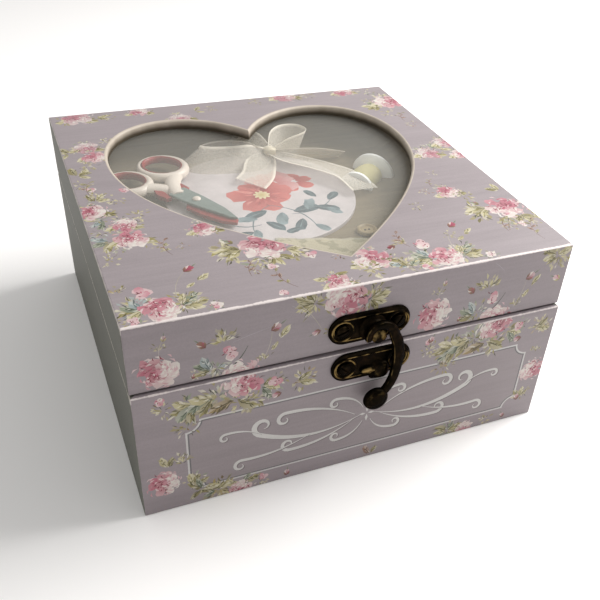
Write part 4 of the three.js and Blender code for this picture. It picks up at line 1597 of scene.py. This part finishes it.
def cast_round(mesh, middle, profile, sides=40):
    """Casts a round part of the front from the radius, depth and rub of each of its rings."""
    cast(mesh, [facing(circle(radius, sides), middle, depth) for radius, depth, _ in profile],
         [share for *_, share in profile])


def stadium(half_length, radius, sides=24):
    """Points round a long plate with half-round ends, in the front's own plane."""
    points = []
    for end in (1, -1):
        for k in range(sides + 1):
            angle = -math.pi / 2 + math.pi * k / sides
            x = half_length - radius + radius * math.cos(angle)
            points.append((end * x, end * radius * math.sin(angle)))
    return points


def facing(points, middle, depth):
    """Places flat points on the front: x to the right, y up, at this depth of y."""
    return [(middle[0] + x, depth, middle[1] + y) for x, y in points]


def circle(radius, sides):
    return [(radius * math.cos(t), radius * math.sin(t)) for t in even_turns(sides)]


# Latch plates
# A long plate with round ends on the lid and one on the base, each with a thin raised line
# following its edge and a round seat for the screw at each end.

plate_half, plate_radius, screw_reach = 18.8, 7.4, 12.8


def latch_plate(mesh, middle, back):
    front = back - 1.0
    profile = (
        (0.15, back, 0), (0, back - 0.15, 0), (0, front + 0.35, 0.05), (0.12, front + 0.1, 0.3),
        (0.4, front, 0.15), (1.3, front - 0.1, 0), (1.65, front - 0.15, 0.1),
        (1.8, front - 0.4, 0.75), (2.05, front - 0.5, 1),
        (2.3, front - 0.4, 0.75), (2.45, front - 0.1, 0), (2.8, front, 0))
    rings = []
    for inset, depth, _ in profile:
        rings.append(facing(stadium(plate_half - inset, plate_radius - inset), middle, depth))
    cast(mesh, rings, [share for *_, share in profile])
    for side in (-screw_reach, screw_reach):
        seat = (
            (5.5, front + 0.3, 0), (5.45, front - 0.35, 0.1), (5.2, front - 0.8, 0.5),
            (4.8, front - 0.95, 0.95), (4.4, front - 0.85, 0.6), (4.1, front - 0.4, 0),
            (3.6, front - 0.1, 0), (3.0, front - 0.05, 0),
            (0.3, front - 0.05, 0))
        cast_round(mesh, (middle[0] + side, middle[1]), seat)


lid_plate = bmesh.new()
lid_plate_middle, lid_plate_back = (1, 79.6), -100.38
latch_plate(lid_plate, lid_plate_middle, lid_plate_back)
boss_middle = (2.4, 78.2)
boss = (
    (6.6, -101.5, 0), (6.4, -101.9, 0.15), (5.4, -102.3, 0.1), (4.8, -103.0, 0), (4.6, -104.2, 0.1),
    (4.5, -104.9, 0.5), (4.2, -105.1, 0.2), (0.4, -105.1, 0))
cast_round(lid_plate, boss_middle, boss)
finished("hook_plate_cast", lid_plate, [bronze], smooth=50,
         replaced=("hook_plate",))

rivet = bmesh.new()
dome = [(2.2, -104.9, 0.2), (2.2, -107.0, 0.2), (3.3, -107.1, 0.3), (3.55, -107.5, 0.6)]
dome += [(3.55 * math.cos(a), -107.5 - 1.75 * math.sin(a), 0.7) for a in (0.3, 0.6, 0.9, 1.2, 1.5)]
cast_round(rivet, boss_middle, dome, 32)
finished("hook_rivet_head", rivet, [bronze], smooth=50,
         replaced=("hook_rivet",))

# Catch
# The plate on the base carries a short bar that leads to a round nub, behind which the hook's
# arm snaps. Plate, bar and nub are one casting.

base_plate = bmesh.new()
base_plate_middle, base_plate_back = (2.6, 60.4), -101.98
latch_plate(base_plate, base_plate_middle, base_plate_back)


def squared(wave, power):
    """A sine or cosine pulled towards a square wave."""
    return math.copysign(abs(wave) ** power, wave)


def pillow(mesh, middle, half_x, half_z, steps, squareness=3.2):
    """A raised lump with soft corners, given its sizes at each depth."""
    power = 2 / squareness
    outline = [(squared(math.cos(t), power), squared(math.sin(t), power)) for t in even_turns(40)]
    rings = []
    for depth, spare, _ in steps:
        grown = [(x * (half_x + spare), y * (half_z + spare)) for x, y in outline]
        rings.append(facing(grown, middle, depth))
    cast(mesh, rings, [share for *_, share in steps])


nub_middle = (base_plate_middle[0] + 4.3, base_plate_middle[1] - 4.4)
pillow(base_plate, nub_middle, 3.7, 4.2, (
    (-102.6, 1.5, 0), (-102.95, 1.2, 0.1), (-103.3, 0.5, 0), (-104.0, 0, 0.05), (-104.6, -0.25, 0.3),
    (-105.0, -0.9, 0.55), (-105.15, -1.8, 0.45), (-105.2, -3.2, 0.3)))
tab_middle = (base_plate_middle[0] - 1.3, base_plate_middle[1] - 3.0)
pillow(base_plate, tab_middle, 3.75, 1.4, (
    (-102.6, 0.5, 0), (-103.2, 0.3, 0.1), (-103.9, 0.1, 0.3), (-104.4, -0.2, 0.8), (-104.65, -0.6, 1),
    (-104.75, -1.1, 1)), 2.6)
finished("catch_plate_cast", base_plate, [bronze], smooth=50, body="base",
         replaced=("catch_plate",))

# Hook
# A curved arm that curls round its rivet at the top and ends in a ball to push with the thumb,
# one casting, worn bright along its inner edge.

eye, reach, drop = 5.1, 10.5, 35.4
arm_stations = [Vector((x, -y)) for x, y in (
    (-0.92 * eye, 0.42 * eye), (-0.92 * eye, -0.22 * eye), (-0.46 * eye, -0.86 * eye),
    (0.3 * eye, -0.99 * eye), (0.52 * reach, -0.56 * eye), (0.74 * reach, 0.05 * drop),
    (0.91 * reach, 0.18 * drop), (reach, 0.37 * drop), (0.98 * reach, 0.56 * drop),
    (0.87 * reach, 0.73 * drop), (0.62 * reach, 0.88 * drop), (2.4, 0.985 * drop))]
arm_line = curve(arm_stations, 7)
arm = bmesh.new()
arm_rings = []
section = 20
arm_middle, arm_half = -107.05, 1.6
layer = arm.verts.layers.float.new("rubbed")
for i, point in enumerate(arm_line):
    along = (arm_line[min(i + 1, len(arm_line) - 1)] - arm_line[max(i - 1, 0)]).normalized()
    inner = Vector((along.y, -along.x))
    share = i / (len(arm_line) - 1)
    half = 1.15 + 1.45 * min(1, share / 0.5) ** 1.1 - 0.75 * max(0, share - 0.6) / 0.4
    tip = min(1, i / 3 + 0.4)
    ring = []
    for angle in even_turns(section):
        flat = point + inner * half * tip * squared(math.cos(angle), 0.8)
        deep = arm_middle - arm_half * tip * squared(math.sin(angle), 0.7)
        ring.append((boss_middle[0] + flat.x, deep, boss_middle[1] + flat.y))
    arm_rings.append(ring)
for i, row in enumerate(stack(arm, arm_rings)):
    near_eye = max(0, 1 - i / 60)
    for angle, vert in zip(even_turns(section), row):
        inner_edge = max(0, 1 - abs(angle - 0.62) / 0.4) * 0.7
        outer_edge = max(0, 1 - abs(angle - 2.5) / 0.5) * near_eye
        vert[layer] = max(inner_edge, outer_edge, 0.12 if math.sin(angle) > 0.9 else 0)
ball_middle = (boss_middle[0] + 1.8, boss_middle[1] - drop)
ball = []
for k in range(1, 18):
    angle = math.pi * k / 18
    depth = -107.3 + (2.6 if angle < math.pi / 2 else 3.15) * math.cos(angle)
    ball.append((5.9 * math.sin(angle) ** 0.85, depth, 0.4 if 11 < k < 15 else 0.1))
cast_round(arm, ball_middle, ball, 36)
finished("hook_arm_cast", arm, [bronze], smooth=50, body="hook",
         replaced=("swing_hook",))

# Screws
# Domed screws with one slot hold the plates and the hinges. One slotted head is copied to
# each screw's place and given its own random turn.

head = bmesh.new()
cast_round(head, (0, 0), (
    (1.0, 0.25, 0.1), (1.0, -0.12, 0.1), (0.93, -0.24, 0.45), (0.75, -0.34, 0.3), (0.5, -0.39, 0.15)), 32)
slot_half, slot_deep = 0.13, -0.16
for level in (slot_half, -slot_half):
    bmesh.ops.bisect_plane(head, geom=head.verts[:] + head.edges[:] + head.faces[:],
                           plane_co=(0, 0, level), plane_no=(0, 0, 1))
slot_faces = []
for face in head.faces:
    middle = face.calc_center_median()
    if abs(middle.z) < slot_half and middle.y < -0.1 and face.normal.y < -0.2:
        slot_faces.append(face)
sunk = bmesh.ops.extrude_face_region(head, geom=slot_faces)
for item in sunk["geom"]:
    if isinstance(item, bmesh.types.BMVert):
        item.co.y = slot_deep
        item[head.verts.layers.float["rubbed"]] = 0
bmesh.ops.delete(head, geom=slot_faces, context="FACES_ONLY")
bmesh.ops.scale(head, vec=(0.001, 0.001, 0.001), verts=head.verts)
bmesh.ops.recalc_face_normals(head, faces=head.faces)
head_mesh = bpy.data.meshes.new("screw_head")
head.to_mesh(head_mesh)
head.free()
head_mesh.set_sharp_from_angle(angle=math.radians(35))
screw_head = placed("screw_head", head_mesh)

screws = bpy.data.node_groups.new("screws", "GeometryNodeTree")
screws.interface.new_socket("Geometry", in_out="INPUT", socket_type="NodeSocketGeometry")
screws.interface.new_socket("Geometry", in_out="OUTPUT", socket_type="NodeSocketGeometry")
inputs = {"Geometry": None}
for setting, kind in (
        ("Head", "NodeSocketObject"), ("Radius", "NodeSocketFloat"), ("Half turn", "NodeSocketFloat"),
        ("Seed", "NodeSocketInt"), ("Material", "NodeSocketMaterial")):
    socket = screws.interface.new_socket(setting, in_out="INPUT", socket_type=kind)
    inputs[setting] = socket.identifier
given = screws.nodes.new("NodeGroupInput")
result = screws.nodes.new("NodeGroupOutput")
model = screws.nodes.new("GeometryNodeObjectInfo")
spin = screws.nodes.new("FunctionNodeRandomValue")
spin.data_type = "FLOAT"
turned_about = screws.nodes.new("ShaderNodeCombineXYZ")
spread = screws.nodes.new("GeometryNodeInstanceOnPoints")
real = screws.nodes.new("GeometryNodeRealizeInstances")
painted = screws.nodes.new("GeometryNodeSetMaterial")
spin_range = [socket for socket in spin.inputs if socket.enabled and socket.name in ("Min", "Max")]
spin_range[0].default_value = 0
spin_range[1].default_value = math.pi
spin_value = next(socket for socket in spin.outputs if socket.enabled)
for out, into in (
        (given.outputs["Head"], model.inputs["Object"]), (given.outputs["Seed"], spin.inputs["Seed"]),
        (spin_value, turned_about.inputs["Y"]), (given.outputs["Half turn"], turned_about.inputs["Z"]),
        (given.outputs["Geometry"], spread.inputs["Points"]),
        (model.outputs["Geometry"], spread.inputs["Instance"]),
        (turned_about.outputs["Vector"], spread.inputs["Rotation"]),
        (given.outputs["Radius"], spread.inputs["Scale"]),
        (spread.outputs["Instances"], real.inputs["Geometry"]),
        (real.outputs["Geometry"], painted.inputs["Geometry"]),
        (given.outputs["Material"], painted.inputs["Material"]),
        (painted.outputs["Geometry"], result.inputs["Geometry"])):
    screws.links.new(out, into)


def screw_row(name, body, places, radius, half_turn, seed, replaced):
    """Puts screws of one size at their places, in millimetres, as one plain mesh."""
    dots = bpy.data.meshes.new(name + "_places")
    dots.from_pydata([Vector(place) * 0.001 for place in places], [], [])
    holder = placed(name + "_places", dots)
    nodes = holder.modifiers.new("screws", "NODES")
    nodes.node_group = screws
    values = {
        "Head": screw_head, "Radius": radius, "Half turn": half_turn, "Seed": seed,
        "Material": bronze.material}
    for setting, value in values.items():
        nodes[inputs[setting]] = value
    whole = bpy.context.evaluated_depsgraph_get()
    plain = bpy.data.meshes.new_from_object(holder.evaluated_get(whole))
    plain.name = name
    holder.modifiers.remove(nodes)
    bpy.data.objects.remove(holder)
    made = placed(name, plain)
    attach(made, body)
    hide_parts(*replaced)


for part, body, (x, z), depth, seed in (
        ("hook", "lid", lid_plate_middle, -101.75, 3), ("catch", "base", base_plate_middle, -103.35, 8)):
    screw_row(f"{part}_plate_screws", body, [(x + dx, depth, z) for dx in (-screw_reach, screw_reach)],
              3.0, 0, seed, (f"{part}_screw_left", f"{part}_screw_right"))
for body in ("lid", "base"):
    names = [f"{body}_hinge_screw_{side}_{k}" for side in ("left", "right") for k in (1, 2)]
    places = []
    for node_name in names:
        low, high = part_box(node_name)
        places.append(((low.x + high.x) * 500, high.y * 1000 - 0.6, (low.z + high.z) * 500))
    screw_row(f"{body}_hinge_screws", body, places, 1.9, math.pi, 5 if body == "lid" else 9, names)
bpy.data.objects.remove(screw_head)
